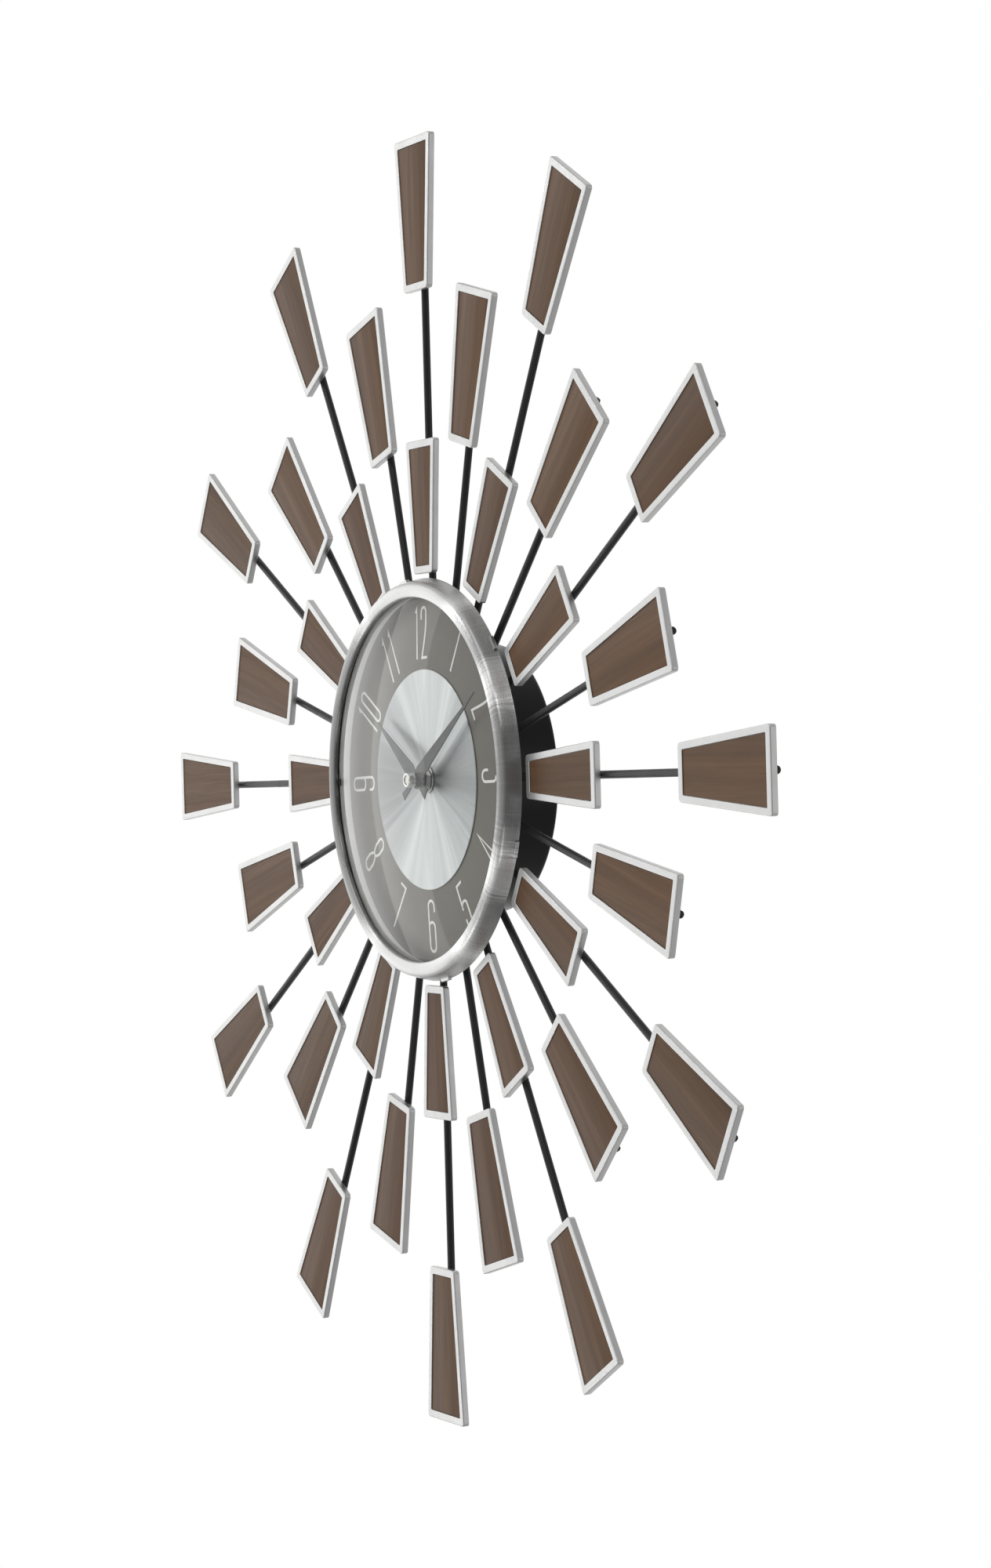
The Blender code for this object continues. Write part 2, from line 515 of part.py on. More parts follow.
third_pinion = rotated(gear_outline(THIRD_PINION_T, CENTRE_MODULE, 2), mesh_phase(THIRD_PINION_T, THIRD_DIRECTION + 180.0, True))
third = gear_outline(THIRD_T, THIRD_MODULE, 1)
wheel("third_wheel", acetal, THIRD_AT, [(third, 18.0, 19.0), (third_pinion, 15.8, 18.3)], (), 0.9, 16)

# A tooth of the motion wheel points straight at the knob's axis, so a space of the pinion faces it.
knob_turn = mesh_phase(KNOB_T, KNOB_DIRECTION + 180.0, True)
knob_pinion = rotated(gear_outline(KNOB_T, MOTION_MODULE, 2), knob_turn)
grip = []
for i in range(18):
    a = math.tau * i / 18
    grip += [(5.0 * math.cos(a - 0.1), 5.0 * math.sin(a - 0.1)), (5.0 * math.cos(a + 0.06), 5.0 * math.sin(a + 0.06)), (4.6 * math.cos(a + 0.17), 4.6 * math.sin(a + 0.17))]
knob = wheel("setting_knob", acetal, KNOB_AT, [(knob_pinion, 13.5, 15.0), (grip, 24.0, 29.5)], [(1.6, 14.5, 24.5)], 0.0, 24)
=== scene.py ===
import math

import bmesh
import bpy
from mathutils import Matrix, Vector


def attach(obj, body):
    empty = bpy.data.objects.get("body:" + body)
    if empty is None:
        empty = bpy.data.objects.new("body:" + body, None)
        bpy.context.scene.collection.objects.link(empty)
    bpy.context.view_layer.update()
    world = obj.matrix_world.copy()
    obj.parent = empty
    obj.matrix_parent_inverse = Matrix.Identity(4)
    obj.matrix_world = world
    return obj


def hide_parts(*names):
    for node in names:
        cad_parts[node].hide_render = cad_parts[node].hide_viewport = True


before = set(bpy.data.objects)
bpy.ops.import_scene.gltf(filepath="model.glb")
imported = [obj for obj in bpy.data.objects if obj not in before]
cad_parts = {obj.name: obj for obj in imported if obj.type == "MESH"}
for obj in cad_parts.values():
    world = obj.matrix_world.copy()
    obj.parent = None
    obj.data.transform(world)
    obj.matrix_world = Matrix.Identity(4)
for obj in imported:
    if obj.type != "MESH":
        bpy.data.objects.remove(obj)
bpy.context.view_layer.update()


scene = bpy.context.scene
scene.view_settings.view_transform = "Standard"
scene.view_settings.look = "None"
scene.view_settings.exposure = 0.0
scene.view_settings.gamma = 1.0

PANEL_PLANE = 35.2  # mm from the walnut panels' faces back to the wall
RAYS = 24


def y_of(depth):
    return (depth - PANEL_PLANE) / 1000.0


def polar(r, angle, depth):
    return (r * math.sin(angle) / 1000.0, y_of(depth), r * math.cos(angle) / 1000.0)


# ---------------------------------------------------------------- mesh tools


def mesh_of(name, verts, faces, sharp=32.0, closed=True):
    mesh = bpy.data.meshes.new(name)
    mesh.from_pydata(verts, [], faces)
    work = bmesh.new()
    work.from_mesh(mesh)
    bmesh.ops.remove_doubles(work, verts=work.verts, dist=1e-7)
    if closed:
        bmesh.ops.recalc_face_normals(work, faces=work.faces)
    work.to_mesh(mesh)
    work.free()
    for polygon in mesh.polygons:
        polygon.use_smooth = True
    mesh.set_sharp_from_angle(angle=math.radians(sharp))
    mesh.update()
    return mesh


def place(name, mesh, material, body, nodes=(), spin=0.0, at=None, weighted=True):
    obj = bpy.data.objects.new(name, mesh)
    scene.collection.objects.link(obj)
    if not mesh.materials:
        mesh.materials.append(material)
    if at is not None:
        obj.location = at
    if spin:
        obj.rotation_euler = (0.0, spin, 0.0)
    if weighted:
        even = obj.modifiers.new("even_normals", "WEIGHTED_NORMAL")
        even.keep_sharp = True
        even.weight = 80
    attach(obj, body)
    if nodes:
        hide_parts(*nodes)
    return obj


def soften(points, radius, steps=4):
    """A closed polygon with its corners rounded. radius is one number, or one for each corner."""
    out = []
    n = len(points)
    for i in range(n):
        a, b, c = Vector(points[i - 1]), Vector(points[i]), Vector(points[(i + 1) % n])
        r = radius[i] if isinstance(radius, (list, tuple)) else radius
        r = min(r, 0.45 * (a - b).length, 0.45 * (c - b).length)
        p, q = b + (a - b).normalized() * r, b + (c - b).normalized() * r
        for s in range(steps + 1):
            u = s / steps
            v = (1 - u) ** 2 * p + 2 * (1 - u) * u * b + u * u * q
            out.append((v.x, v.y))
    return out


def ring_body(rings, n):
    """A closed body round the hand axis. Each ring is (r, depth), or a function of the angle that gives them."""
    verts, faces = [], []
    for ring in rings:
        for i in range(n):
            a = 2 * math.pi * i / n
            r, d = ring(a) if callable(ring) else ring
            verts.append(polar(r, a, d))
    m = len(rings)
    for k in range(m):
        k2 = (k + 1) % m
        for i in range(n):
            j = (i + 1) % n
            faces.append((k * n + i, k * n + j, k2 * n + j, k2 * n + i))
    return verts, faces


def loft(loops):
    """A closed body through loops of the same number of points, capped at both ends."""
    n = len(loops[0])
    verts = [p for loop in loops for p in loop]
    faces = []
    for k in range(len(loops) - 1):
        for i in range(n):
            j = (i + 1) % n
            faces.append((k * n + i, k * n + j, (k + 1) * n + j, (k + 1) * n + i))
    faces.append(tuple(range(n)))
    last = (len(loops) - 1) * n
    faces.append(tuple(last + i for i in reversed(range(n))))
    return verts, faces


def join(parts):
    verts, faces = [], []
    for v, f in parts:
        base = len(verts)
        verts.extend(v)
        faces.extend(tuple(base + i for i in face) for face in f)
    return verts, faces


# ------------------------------------------------------------ material tools


class Finish:
    """A Principled material and short ways to feed it."""

    def __init__(self, name, **values):
        self.material = bpy.data.materials.new(name)
        self.material.use_nodes = True
        self.tree = self.material.node_tree
        self.shader = self.tree.nodes["Principled BSDF"]
        for key, value in values.items():
            socket = self.shader.inputs[key.replace("_", " ")]
            socket.default_value = (*value, 1.0) if isinstance(value, tuple) else value
        self._object = None

    def node(self, kind, **props):
        made = self.tree.nodes.new(kind)
        for key, value in props.items():
            setattr(made, key, value)
        return made

    def feed(self, socket, source):
        if isinstance(source, bpy.types.NodeSocket):
            self.tree.links.new(source, socket)
        elif isinstance(source, tuple) and len(source) == 3 and socket.type == "RGBA":
            socket.default_value = (*source, 1.0)
        else:
            socket.default_value = source

    def into(self, name, source):
        self.feed(self.shader.inputs[name], source)

    def place(self):
        if self._object is None:
            self._object = self.node("ShaderNodeTexCoord").outputs["Object"]
        return self._object

    def shifted(self):
        """Object coordinates moved by a different amount on each object."""
        info = self.node("ShaderNodeObjectInfo").outputs["Random"]
        far = self.math("MULTIPLY", info, 7.3)
        both = self.node("ShaderNodeCombineXYZ")
        self.feed(both.inputs[0], far)
        self.feed(both.inputs[1], self.math("MULTIPLY", info, 3.1))
        self.feed(both.inputs[2], self.math("MULTIPLY", info, 11.7))
        add = self.node("ShaderNodeVectorMath", operation="ADD")
        self.feed(add.inputs[0], self.place())
        self.feed(add.inputs[1], both.outputs[0])
        return add.outputs[0]

    def scaled(self, vector, x, y, z):
        mapping = self.node("ShaderNodeMapping")
        self.feed(mapping.inputs["Vector"], vector)
        mapping.inputs["Scale"].default_value = (x, y, z)
        return mapping.outputs[0]

    def around(self, a_scale, r_scale, y_scale):
        """Coordinates round the hand axis: (angle, radius, depth), each scaled."""
        apart = self.node("ShaderNodeSeparateXYZ")
        self.feed(apart.inputs[0], self.place())
        x, y, z = apart.outputs
        angle = self.math("ARCTAN2", x, z)
        square = self.math("ADD", self.math("MULTIPLY", x, x), self.math("MULTIPLY", z, z))
        radius = self.math("SQRT", square)
        both = self.node("ShaderNodeCombineXYZ")
        self.feed(both.inputs[0], self.math("MULTIPLY", angle, a_scale))
        self.feed(both.inputs[1], self.math("MULTIPLY", radius, r_scale))
        self.feed(both.inputs[2], self.math("MULTIPLY", y, y_scale))
        return both.outputs[0]

    def math(self, operation, a, b=0.0):
        made = self.node("ShaderNodeMath", operation=operation)
        self.feed(made.inputs[0], a)
        self.feed(made.inputs[1], b)
        return made.outputs[0]

    def noise(self, vector, scale=1.0, detail=3.0, roughness=0.55, distortion=0.0):
        made = self.node("ShaderNodeTexNoise")
        self.feed(made.inputs["Vector"], vector)
        made.inputs["Scale"].default_value = scale
        made.inputs["Detail"].default_value = detail
        made.inputs["Roughness"].default_value = roughness
        made.inputs["Distortion"].default_value = distortion
        return made.outputs[0]

    def cells(self, vector, scale=1.0, feature="F1"):
        made = self.node("ShaderNodeTexVoronoi", feature=feature)
        self.feed(made.inputs["Vector"], vector)
        made.inputs["Scale"].default_value = scale
        return made.outputs["Distance"]

    def span(self, value, a, b, c, d):
        made = self.node("ShaderNodeMapRange")
        for socket, item in zip(made.inputs, (value, a, b, c, d)):
            self.feed(socket, item)
        return made.outputs[0]

    def blend(self, factor, one, two, mode="MIX"):
        made = self.node("ShaderNodeMix", data_type="RGBA", blend_type=mode)
        self.feed(made.inputs["Factor"], factor)
        self.feed(made.inputs[6], one)
        self.feed(made.inputs[7], two)
        return made.outputs[2]

    def ramp(self, factor, stops):
        made = self.node("ShaderNodeValToRGB")
        self.feed(made.inputs[0], factor)
        ramp = made.color_ramp
        while len(ramp.elements) < len(stops):
            ramp.elements.new(0.5)
        for element, (position, colour) in zip(ramp.elements, stops):
            element.position = position
            element.color = (*colour, 1.0)
        return made.outputs[0]

    def bump(self, height, strength, distance, under=None):
        made = self.node("ShaderNodeBump")
        made.inputs["Strength"].default_value = strength
        made.inputs["Distance"].default_value = distance
        self.feed(made.inputs["Height"], height)
        if under is not None:
            self.feed(made.inputs["Normal"], under)
        self.into("Normal", made.outputs[0])
        return made.outputs[0]

    def across(self):
        """0 above and below the hand axis, 1 level with it: how far round a turned face has come from the vertical."""
        apart = self.node("ShaderNodeSeparateXYZ")
        self.feed(apart.inputs[0], self.place())
        x, z = apart.outputs[0], apart.outputs[2]
        away = self.math("SQRT", self.math("ADD", self.math("MULTIPLY", x, x), self.math("MULTIPLY", z, z)))
        return self.math("DIVIDE", self.math("ABSOLUTE", x), away)

    def sweep(self):
        """0 at the left of the hand axis, 0.5 above and below it, 1 at the right."""
        apart = self.node("ShaderNodeSeparateXYZ")
        self.feed(apart.inputs[0], self.place())
        x, z = apart.outputs[0], apart.outputs[2]
        away = self.math("SQRT", self.math("ADD", self.math("MULTIPLY", x, x), self.math("MULTIPLY", z, z)))
        return self.span(self.math("DIVIDE", x, away), -1.0, 1.0, 0.0, 1.0)

    def turned(self):
        """Brushed round the hand axis, for the anisotropic highlight."""
        tangent = self.node("ShaderNodeTangent", direction_type="RADIAL", axis="Y")
        self.into("Tangent", tangent.outputs[0])
        self.shader.inputs["Anisotropic Rotation"].default_value = 0.25


def satin_aluminium():
    f = Finish("satin_aluminium", Metallic=1.0, Anisotropic=0.35)
    at = f.shifted()
    brush = f.noise(f.scaled(at, 1900, 1900, 34), detail=4)
    long = f.noise(f.scaled(at, 420, 420, 9), detail=2)
    cloud = f.noise(at, scale=70, detail=4, distortion=0.6)
    spots = f.cells(at, scale=95)
    f.into("Base Color", f.blend(f.span(cloud, 0.3, 0.75, 0, 1), (0.69, 0.69, 0.685), (0.65, 0.65, 0.645)))
    rough = f.math("ADD", f.span(brush, 0.3, 0.7, 0.33, 0.40), f.span(cloud, 0.3, 0.7, -0.02, 0.03))
    f.into("Roughness", rough)
    fine = f.bump(brush, 0.04, 0.00006)
    wide = f.bump(long, 0.015, 0.0002, fine)
    f.bump(f.span(spots, 0.0, 0.03, 0.0, 1.0), 0.05, 0.00006, wide)
    return f.material


def walnut():
    f = Finish("walnut", Metallic=0.0, Coat_Weight=0.02, Coat_Roughness=0.40, Specular_IOR_Level=0.19)
    info = f.node("ShaderNodeObjectInfo").outputs["Random"]
    at = f.shifted()
    warp = f.noise(f.scaled(at, 30, 30, 7), detail=3)
    push = f.node("ShaderNodeVectorMath", operation="MULTIPLY_ADD")
    wide = f.node("ShaderNodeCombineXYZ")
    f.feed(wide.inputs[0], warp)
    f.feed(push.inputs[0], wide.outputs[0])
    push.inputs[1].default_value = (0.010, 0.0, 0.0)
    f.feed(push.inputs[2], at)
    bent = push.outputs[0]
    figure = f.noise(f.scaled(bent, 190, 190, 6.5), detail=5, roughness=0.6)
    streak = f.noise(f.scaled(bent, 900, 900, 16), detail=4, roughness=0.6)
    fibre = f.noise(f.scaled(bent, 3600, 3600, 60), detail=3)
    pores = f.noise(f.scaled(bent, 3000, 3000, 150), detail=2)
    colour = f.ramp(
        f.span(figure, 0.28, 0.72, 0.0, 1.0),
        [(0.0, (0.094, 0.041, 0.014)), (0.38, (0.132, 0.062, 0.022)), (0.66, (0.162, 0.080, 0.031)), (1.0, (0.197, 0.106, 0.047))],
    )
    colour = f.blend(f.span(streak, 0.35, 0.75, 0.0, 0.35), colour, (0.099, 0.047, 0.018))
    colour = f.blend(f.span(fibre, 0.35, 0.8, 0.0, 0.14), colour, (0.215, 0.125, 0.060))
    dark = f.span(pores, 0.66, 0.78, 0.0, 0.34)
    colour = f.blend(dark, colour, (0.040, 0.026, 0.017))
    grey = f.blend(f.span(info, 0.0, 1.0, 0.0, 0.40), colour, f.blend(0.5, colour, (0.140, 0.106, 0.074)))
    f.into("Base Color", f.blend(f.math("FRACT", f.math("MULTIPLY", info, 7.7)), grey, f.blend(1.0, grey, (0.86, 0.80, 0.74), "MULTIPLY")))
    f.into("Roughness", f.math("ADD", f.span(streak, 0.3, 0.7, 0.36, 0.46), f.span(dark, 0, 1, 0, 0.15)))
    apart = f.node("ShaderNodeSeparateXYZ")
    f.feed(apart.inputs[0], f.place())
    x = apart.outputs[0]
    crown = f.bump(f.math("MULTIPLY", f.math("MULTIPLY", x, x), -5.0), 1.0, 1.0)
    deep = f.bump(f.math("SUBTRACT", 1.0, dark), 0.20, 0.00006, crown)
    f.bump(fibre, 0.06, 0.00005, deep)
    return f.material


def satin_black():
    f = Finish("satin_black", Metallic=0.0, Specular_IOR_Level=0.42)
    at = f.shifted()
    grain = f.noise(at, scale=2600, detail=3)
    cloud = f.noise(at, scale=90, detail=3)
    rub = f.noise(f.scaled(at, 240, 240, 240), detail=5, distortion=0.8)
    f.into("Base Color", f.blend(f.span(cloud, 0.3, 0.7, 0, 1), (0.0075, 0.0075, 0.008), (0.014, 0.014, 0.0145)))
    f.into("Roughness", f.math("ADD", f.span(cloud, 0.3, 0.7, 0.30, 0.40), f.span(rub, 0.55, 0.8, 0.0, 0.10)))
    f.bump(grain, 0.22, 0.00006)
    return f.material


def gloss_black():
    f = Finish("gloss_black", Metallic=0.0, Specular_IOR_Level=0.20, Coat_Weight=0.06, Coat_Roughness=0.06)
    at = f.place()
    peel = f.noise(at, scale=420, detail=2)
    haze = f.noise(at, scale=55, detail=4, distortion=0.5)
    f.into("Base Color", f.blend(f.span(haze, 0.3, 0.7, 0, 1), (0.0034, 0.0034, 0.0036), (0.0062, 0.0062, 0.0064)))
    f.into("Roughness", f.span(haze, 0.3, 0.75, 0.13, 0.26))
    f.bump(peel, 0.06, 0.00020)
    return f.material


def pan_grey():
    f = Finish("pan_grey", Metallic=0.0, Specular_IOR_Level=0.4)
    rings = f.noise(f.around(3.0, 2200, 2200), detail=3)
    haze = f.noise(f.place(), scale=80, detail=3)
    f.into("Base Color", f.blend(f.span(haze, 0.3, 0.7, 0, 1), (0.46, 0.455, 0.44), (0.41, 0.405, 0.39)))
    f.into("Roughness", f.span(haze, 0.3, 0.7, 0.34, 0.48))
    f.bump(rings, 0.15, 0.00005)
    return f.material


def polished_aluminium():
    f = Finish("polished_aluminium", Metallic=1.0, Anisotropic=0.85)
    f.turned()
    rings = f.noise(f.around(5.0, 2300, 2300), detail=4)
    broad = f.noise(f.around(9.0, 260, 260), detail=3)
    cross = f.noise(f.around(420.0, 190, 190), detail=3, distortion=0.4)
    cloud = f.noise(f.place(), scale=60, detail=4, distortion=0.7)
    streak = f.noise(f.around(110.0, 50, 50), detail=4)
    scratch = f.span(cross, 0.66, 0.74, 0.0, 1.0)
    tone = f.blend(f.span(streak, 0.3, 0.7, 0, 1), (0.95, 0.95, 0.94), (0.92, 0.915, 0.91))
    # Painted highlights and shade: the base colour is set by the angle round the hand axis. It is bright in bands about
    # 30 and 60 degrees off the vertical and darker at the sides, standing in for the polished ring's reflections.
    painted_highlight_greys = [(0.0, 0.33), (0.07, 0.38), (0.16, 0.44), (0.25, 0.84), (0.30, 0.70), (0.50, 0.64), (0.70, 0.68), (0.755, 1.0), (0.805, 0.62), (0.86, 0.42), (0.90, 0.44), (0.922, 0.85), (0.945, 1.0), (0.962, 0.75), (0.975, 0.42), (1.0, 0.36)]
    turn = f.ramp(f.math("ADD", f.sweep(), f.span(streak, 0.3, 0.7, -0.014, 0.014)), [(at, (g, g, g)) for at, g in painted_highlight_greys])
    f.into("Base Color", f.blend(1.0, tone, turn, "MULTIPLY"))
    rough = f.math("ADD", f.span(rings, 0.3, 0.7, 0.24, 0.32), f.span(cloud, 0.35, 0.7, -0.02, 0.04))
    f.into("Roughness", f.math("ADD", rough, f.math("MULTIPLY", scratch, 0.07)))
    fine = f.bump(rings, 0.10, 0.00007)
    wide = f.bump(broad, 0.03, 0.0002, fine)
    f.bump(f.math("SUBTRACT", 1.0, scratch), 0.03, 0.00005, wide)
    return f.material


def lens_glass():
    """Clear glass: straight through it, plus a mirror by Fresnel on the faces turned to the ray."""
    material = bpy.data.materials.new("lens_glass")
    material.use_nodes = True
    tree = material.node_tree
    tree.nodes.clear()
    out = tree.nodes.new("ShaderNodeOutputMaterial")
    clear = tree.nodes.new("ShaderNodeBsdfTransparent")
    clear.inputs["Color"].default_value = (0.985, 0.99, 0.985, 1)
    mirror = tree.nodes.new("ShaderNodeBsdfGlossy")
    mirror.inputs["Color"].default_value = (1, 1, 1, 1)
    smear = tree.nodes.new("ShaderNodeTexNoise")
    where = tree.nodes.new("ShaderNodeTexCoord")
    smear.inputs["Scale"].default_value = 45
    smear.inputs["Detail"].default_value = 4
    rough = tree.nodes.new("ShaderNodeMapRange")
    rough.inputs[1].default_value = 0.35
    rough.inputs[2].default_value = 0.75
    rough.inputs[3].default_value = 0.02
    rough.inputs[4].default_value = 0.05
    fresnel = tree.nodes.new("ShaderNodeFresnel")
    fresnel.inputs["IOR"].default_value = 1.46
    side = tree.nodes.new("ShaderNodeNewGeometry")
    front = tree.nodes.new("ShaderNodeMath")
    front.operation = "SUBTRACT"
    front.inputs[0].default_value = 1.0
    share = tree.nodes.new("ShaderNodeMath")
    share.operation = "MULTIPLY"
    mix = tree.nodes.new("ShaderNodeMixShader")
    link = tree.links.new
    link(where.outputs["Object"], smear.inputs["Vector"])
    link(smear.outputs[0], rough.inputs[0])
    link(rough.outputs[0], mirror.inputs["Roughness"])
    link(side.outputs["Backfacing"], front.inputs[1])
    link(fresnel.outputs[0], share.inputs[0])
    link(front.outputs[0], share.inputs[1])
    link(share.outputs[0], mix.inputs[0])
    link(clear.outputs[0], mix.inputs[1])
    link(mirror.outputs[0], mix.inputs[2])
    link(mix.outputs[0], out.inputs[0])
    return material


def dial_taupe():
    f = Finish("dial_taupe", Metallic=0.40, Anisotropic=0.45, Specular_IOR_Level=0.4)
    at = f.place()
    lines = f.noise(f.scaled(at, 22, 900, 2400), detail=4)
    cloud = f.noise(at, scale=38, detail=3)
    flake = f.noise(at, scale=5200, detail=1)
    tangent = f.node("ShaderNodeTangent", direction_type="RADIAL", axis="Z")
    f.into("Tangent", tangent.outputs[0])
    f.shader.inputs["Anisotropic Rotation"].default_value = 0.25
    f.into("Base Color", f.blend(f.span(cloud, 0.3, 0.7, 0, 1), (0.147, 0.134, 0.113), (0.134, 0.122, 0.102)))
    f.into("Roughness", f.math("ADD", f.span(lines, 0.3, 0.7, 0.36, 0.39), f.span(flake, 0.3, 0.7, -0.02, 0.03)))
    f.bump(lines, 0.02, 0.00004)
    return f.material


def dial_spun():
    f = Finish("dial_spun", Metallic=1.0, Anisotropic=0.88)
    f.turned()
    rings = f.noise(f.around(1.2, 3400, 0), detail=3)
    wide = f.noise(f.around(0.6, 420, 0), detail=2)
    sectors = f.noise(f.around(11.0, 3, 0), detail=5, roughness=0.7)
    tone = f.blend(f.span(sectors, 0.35, 0.65, 0, 1), (0.69, 0.709, 0.718), (0.61, 0.629, 0.638))
    # Painted highlights and shade: the base colour is set by the angle from the vertical. It is brightest in rays about
    # 30 degrees off the vertical and darker towards 3 and 9 o'clock, standing in for the spun disc's fan highlights.
    turn = f.ramp(f.math("ADD", f.across(), f.span(sectors, 0.3, 0.7, -0.045, 0.045)), [(0.0, (0.90, 0.90, 0.90)), (0.38, (0.88, 0.88, 0.88)), (0.46, (1.0, 1.0, 1.0)), (0.52, (1.0, 1.0, 1.0)), (0.60, (0.86, 0.86, 0.86)), (0.74, (0.80, 0.80, 0.80)), (0.84, (0.90, 0.90, 0.90)), (0.92, (0.76, 0.76, 0.76)), (1.0, (0.74, 0.74, 0.74))])
    f.into("Base Color", f.blend(1.0, tone, turn, "MULTIPLY"))
    f.into("Roughness", f.math("ADD", f.span(rings, 0.3, 0.7, 0.33, 0.38), f.span(sectors, 0.35, 0.65, -0.02, 0.03)))
    fine = f.bump(rings, 0.10, 0.00005)
    f.bump(wide, 0.04, 0.0002, fine)
    return f.material


def nickel(name="nickel", tone=(0.72, 0.71, 0.69), low=0.14, high=0.26):
    f = Finish(name, Metallic=1.0, Anisotropic=0.3)
    f.turned()
    at = f.place()
    rings = f.noise(f.around(6.0, 3600, 3600), detail=3)
    cloud = f.noise(at, scale=400, detail=3)
    f.into("Base Color", f.blend(f.span(cloud, 0.3, 0.7, 0, 1), tone, tuple(0.86 * c for c in tone)))
    f.into("Roughness", f.math("ADD", f.span(rings, 0.3, 0.7, low, high), f.span(cloud, 0.3, 0.7, -0.02, 0.04)))
    f.bump(rings, 0.12, 0.00004)
    return f.material


def hand_grey():
    f = Finish("hand_grey", Metallic=0.85, Anisotropic=0.3)
    at = f.place()
    grain = f.noise(f.scaled(at, 2600, 2600, 2600), detail=4)
    cloud = f.noise(at, scale=150, detail=3)
    f.into("Base Color", f.blend(f.span(cloud, 0.3, 0.7, 0, 1), (0.125, 0.125, 0.127), (0.095, 0.095, 0.098)))
    f.into("Roughness", f.span(grain, 0.3, 0.7, 0.30, 0.42))
    f.bump(grain, 0.10, 0.00003)
    return f.material


def numeral_ink():
    f = Finish("numeral_ink", Metallic=0.15, Specular_IOR_Level=0.5)
    at = f.place()
    cloud = f.noise(at, scale=900, detail=4)
    f.into("Base Color", f.blend(f.span(cloud, 0.3, 0.7, 0, 1), (0.97, 0.96, 0.93), (0.90, 0.89, 0.86)))
    f.into("Roughness", f.span(cloud, 0.3, 0.7, 0.30, 0.42))
    f.bump(cloud, 0.2, 0.00003)
    return f.material


def moulded(name, one, two, low, high, grain=1500, height=0.00006, strength=0.25, **values):
    """A plastic, rubber or board with a fine moulded grain and slight flow marks."""
    f = Finish(name, **values)
    at = f.place()
    fine = f.noise(at, scale=grain, detail=3)
    flow = f.noise(f.scaled(at, 60, 60, 140), detail=4, distortion=1.2)
    f.into("Base Color", f.blend(f.span(flow, 0.3, 0.7, 0, 1), one, two))
    f.into("Roughness", f.math("ADD", f.span(flow, 0.3, 0.7, low, high), f.span(fine, 0.3, 0.7, -0.03, 0.03)))
    f.bump(fine, strength, height)
    return f.material


def brushed(name, one, two, low, high, sx, sy, sz, **values):
    """A metal brushed or drawn along its long direction."""
    f = Finish(name, Metallic=1.0, **values)
    at = f.place()
    lines = f.noise(f.scaled(at, sx, sy, sz), detail=4)
    cloud = f.noise(at, scale=120, detail=4, distortion=0.6)
    f.into("Base Color", f.blend(f.span(cloud, 0.3, 0.7, 0, 1), one, two))
    f.into("Roughness", f.math("ADD", f.span(lines, 0.3, 0.7, low, high), f.span(cloud, 0.3, 0.7, -0.03, 0.04)))
    f.bump(lines, 0.15, 0.00005)
    return f.material


SATIN = satin_aluminium()
WOOD = walnut()
BLACK = satin_black()
GLOSS = gloss_black()
PAN = pan_grey()
POLISHED = polished_aluminium()
GLASS = lens_glass()
TAUPE = dial_taupe()
SPUN = dial_spun()
NICKEL = nickel()
HAND = hand_grey()
INK = numeral_ink()

# -------------------------------------------------- the sun's trays and panels

INNER = (97.9, 161.2, 9.9, 15.0)
MIDDLE = (160.7, 233.4, 12.4, 18.7)
OUTER = (232.1, 304.8, 12.4, 18.7)
END_BORDER, SIDE_BORDER = 3.6, 3.2


def outline(size, end, side, corner, depth):
    """The tray's outline drawn in by end and side, with its corners rounded. Local Z is outwards, and Y is depth."""
    r0, r1, w0, w1 = size
    half = (r1 - r0) / 2
    slope = (w1 - w0) / (2 * half)
    lean = math.hypot(1, slope)
    z0, z1 = -half + end, half - end
    a = w0 + slope * (z0 + half) - side * lean
    b = w0 + slope * (z1 + half) - side * lean
    flat = soften([(-a, z0), (a, z0), (b, z1), (-b, z1)], corner, steps=5)
    return [(x / 1000, y_of(depth), z / 1000) for x, z in flat]


def tray_mesh(name, size):
    """Folded sheet: a face round the recess, rolled outer edges, side walls and an open back."""
    e, s = END_BORDER, SIDE_BORDER
    rows = [
        (e + 0.02, s + 0.02, 0.5, 0.48),
        (e, s, 0.5, 0.42),
        (e, s, 0.5, -0.18),
        (e - 0.05, s - 0.05, 0.55, -0.30),
        (e - 0.16, s - 0.16, 0.6, -0.375),
        (e - 0.32, s - 0.32, 0.7, -0.40),
        (0.60, 0.60, 1.55, -0.40),
        (0.40, 0.40, 1.65, -0.375),
        (0.23, 0.23, 1.75, -0.30),
        (0.10, 0.10, 1.85, -0.18),
        (0.02, 0.02, 1.95, -0.02),
        (0.0, 0.0, 2.0, 0.18),
        (0.0, 0.0, 2.0, 2.45),
        (0.05, 0.05, 2.0, 2.66),
        (0.18, 0.18, 1.9, 2.77),
        (0.36, 0.36, 1.8, 2.80),
        (0.78, 0.78, 1.6, 2.80),
        (0.94, 0.94, 1.5, 2.74),
        (1.0, 1.0, 1.4, 2.60),
        (1.0, 1.0, 1.4, 2.05),
        (1.15, 1.15, 1.3, 1.95),
    ]
    loops = [outline(size, *row) for row in rows]
    return mesh_of(name, *loft(loops), sharp=50)


def panel_mesh(name, size):
    """A walnut panel with eased edges, a hair clear of the lip all round."""
    e, s = END_BORDER + 0.14, SIDE_BORDER + 0.14
    rows = [
        (e + 0.05, s + 0.05, 0.45, 0.40),
        (e, s, 0.45, 0.34),
        (e, s, 0.45, 0.14),
        (e + 0.05, s + 0.05, 0.45, 0.06),
        (e + 0.15, s + 0.15, 0.4, 0.015),
        (e + 0.30, s + 0.30, 0.4, 0.0),
    ]
    loops = [outline(size, *row) for row in rows]
    return mesh_of(name, *loft(loops), sharp=60)


tray_meshes = {"inner": tray_mesh("tray_inner", INNER), "outer": tray_mesh("tray_outer", OUTER)}
panel_meshes = {"inner": panel_mesh("panel_inner", INNER), "outer": panel_mesh("panel_outer", OUTER)}

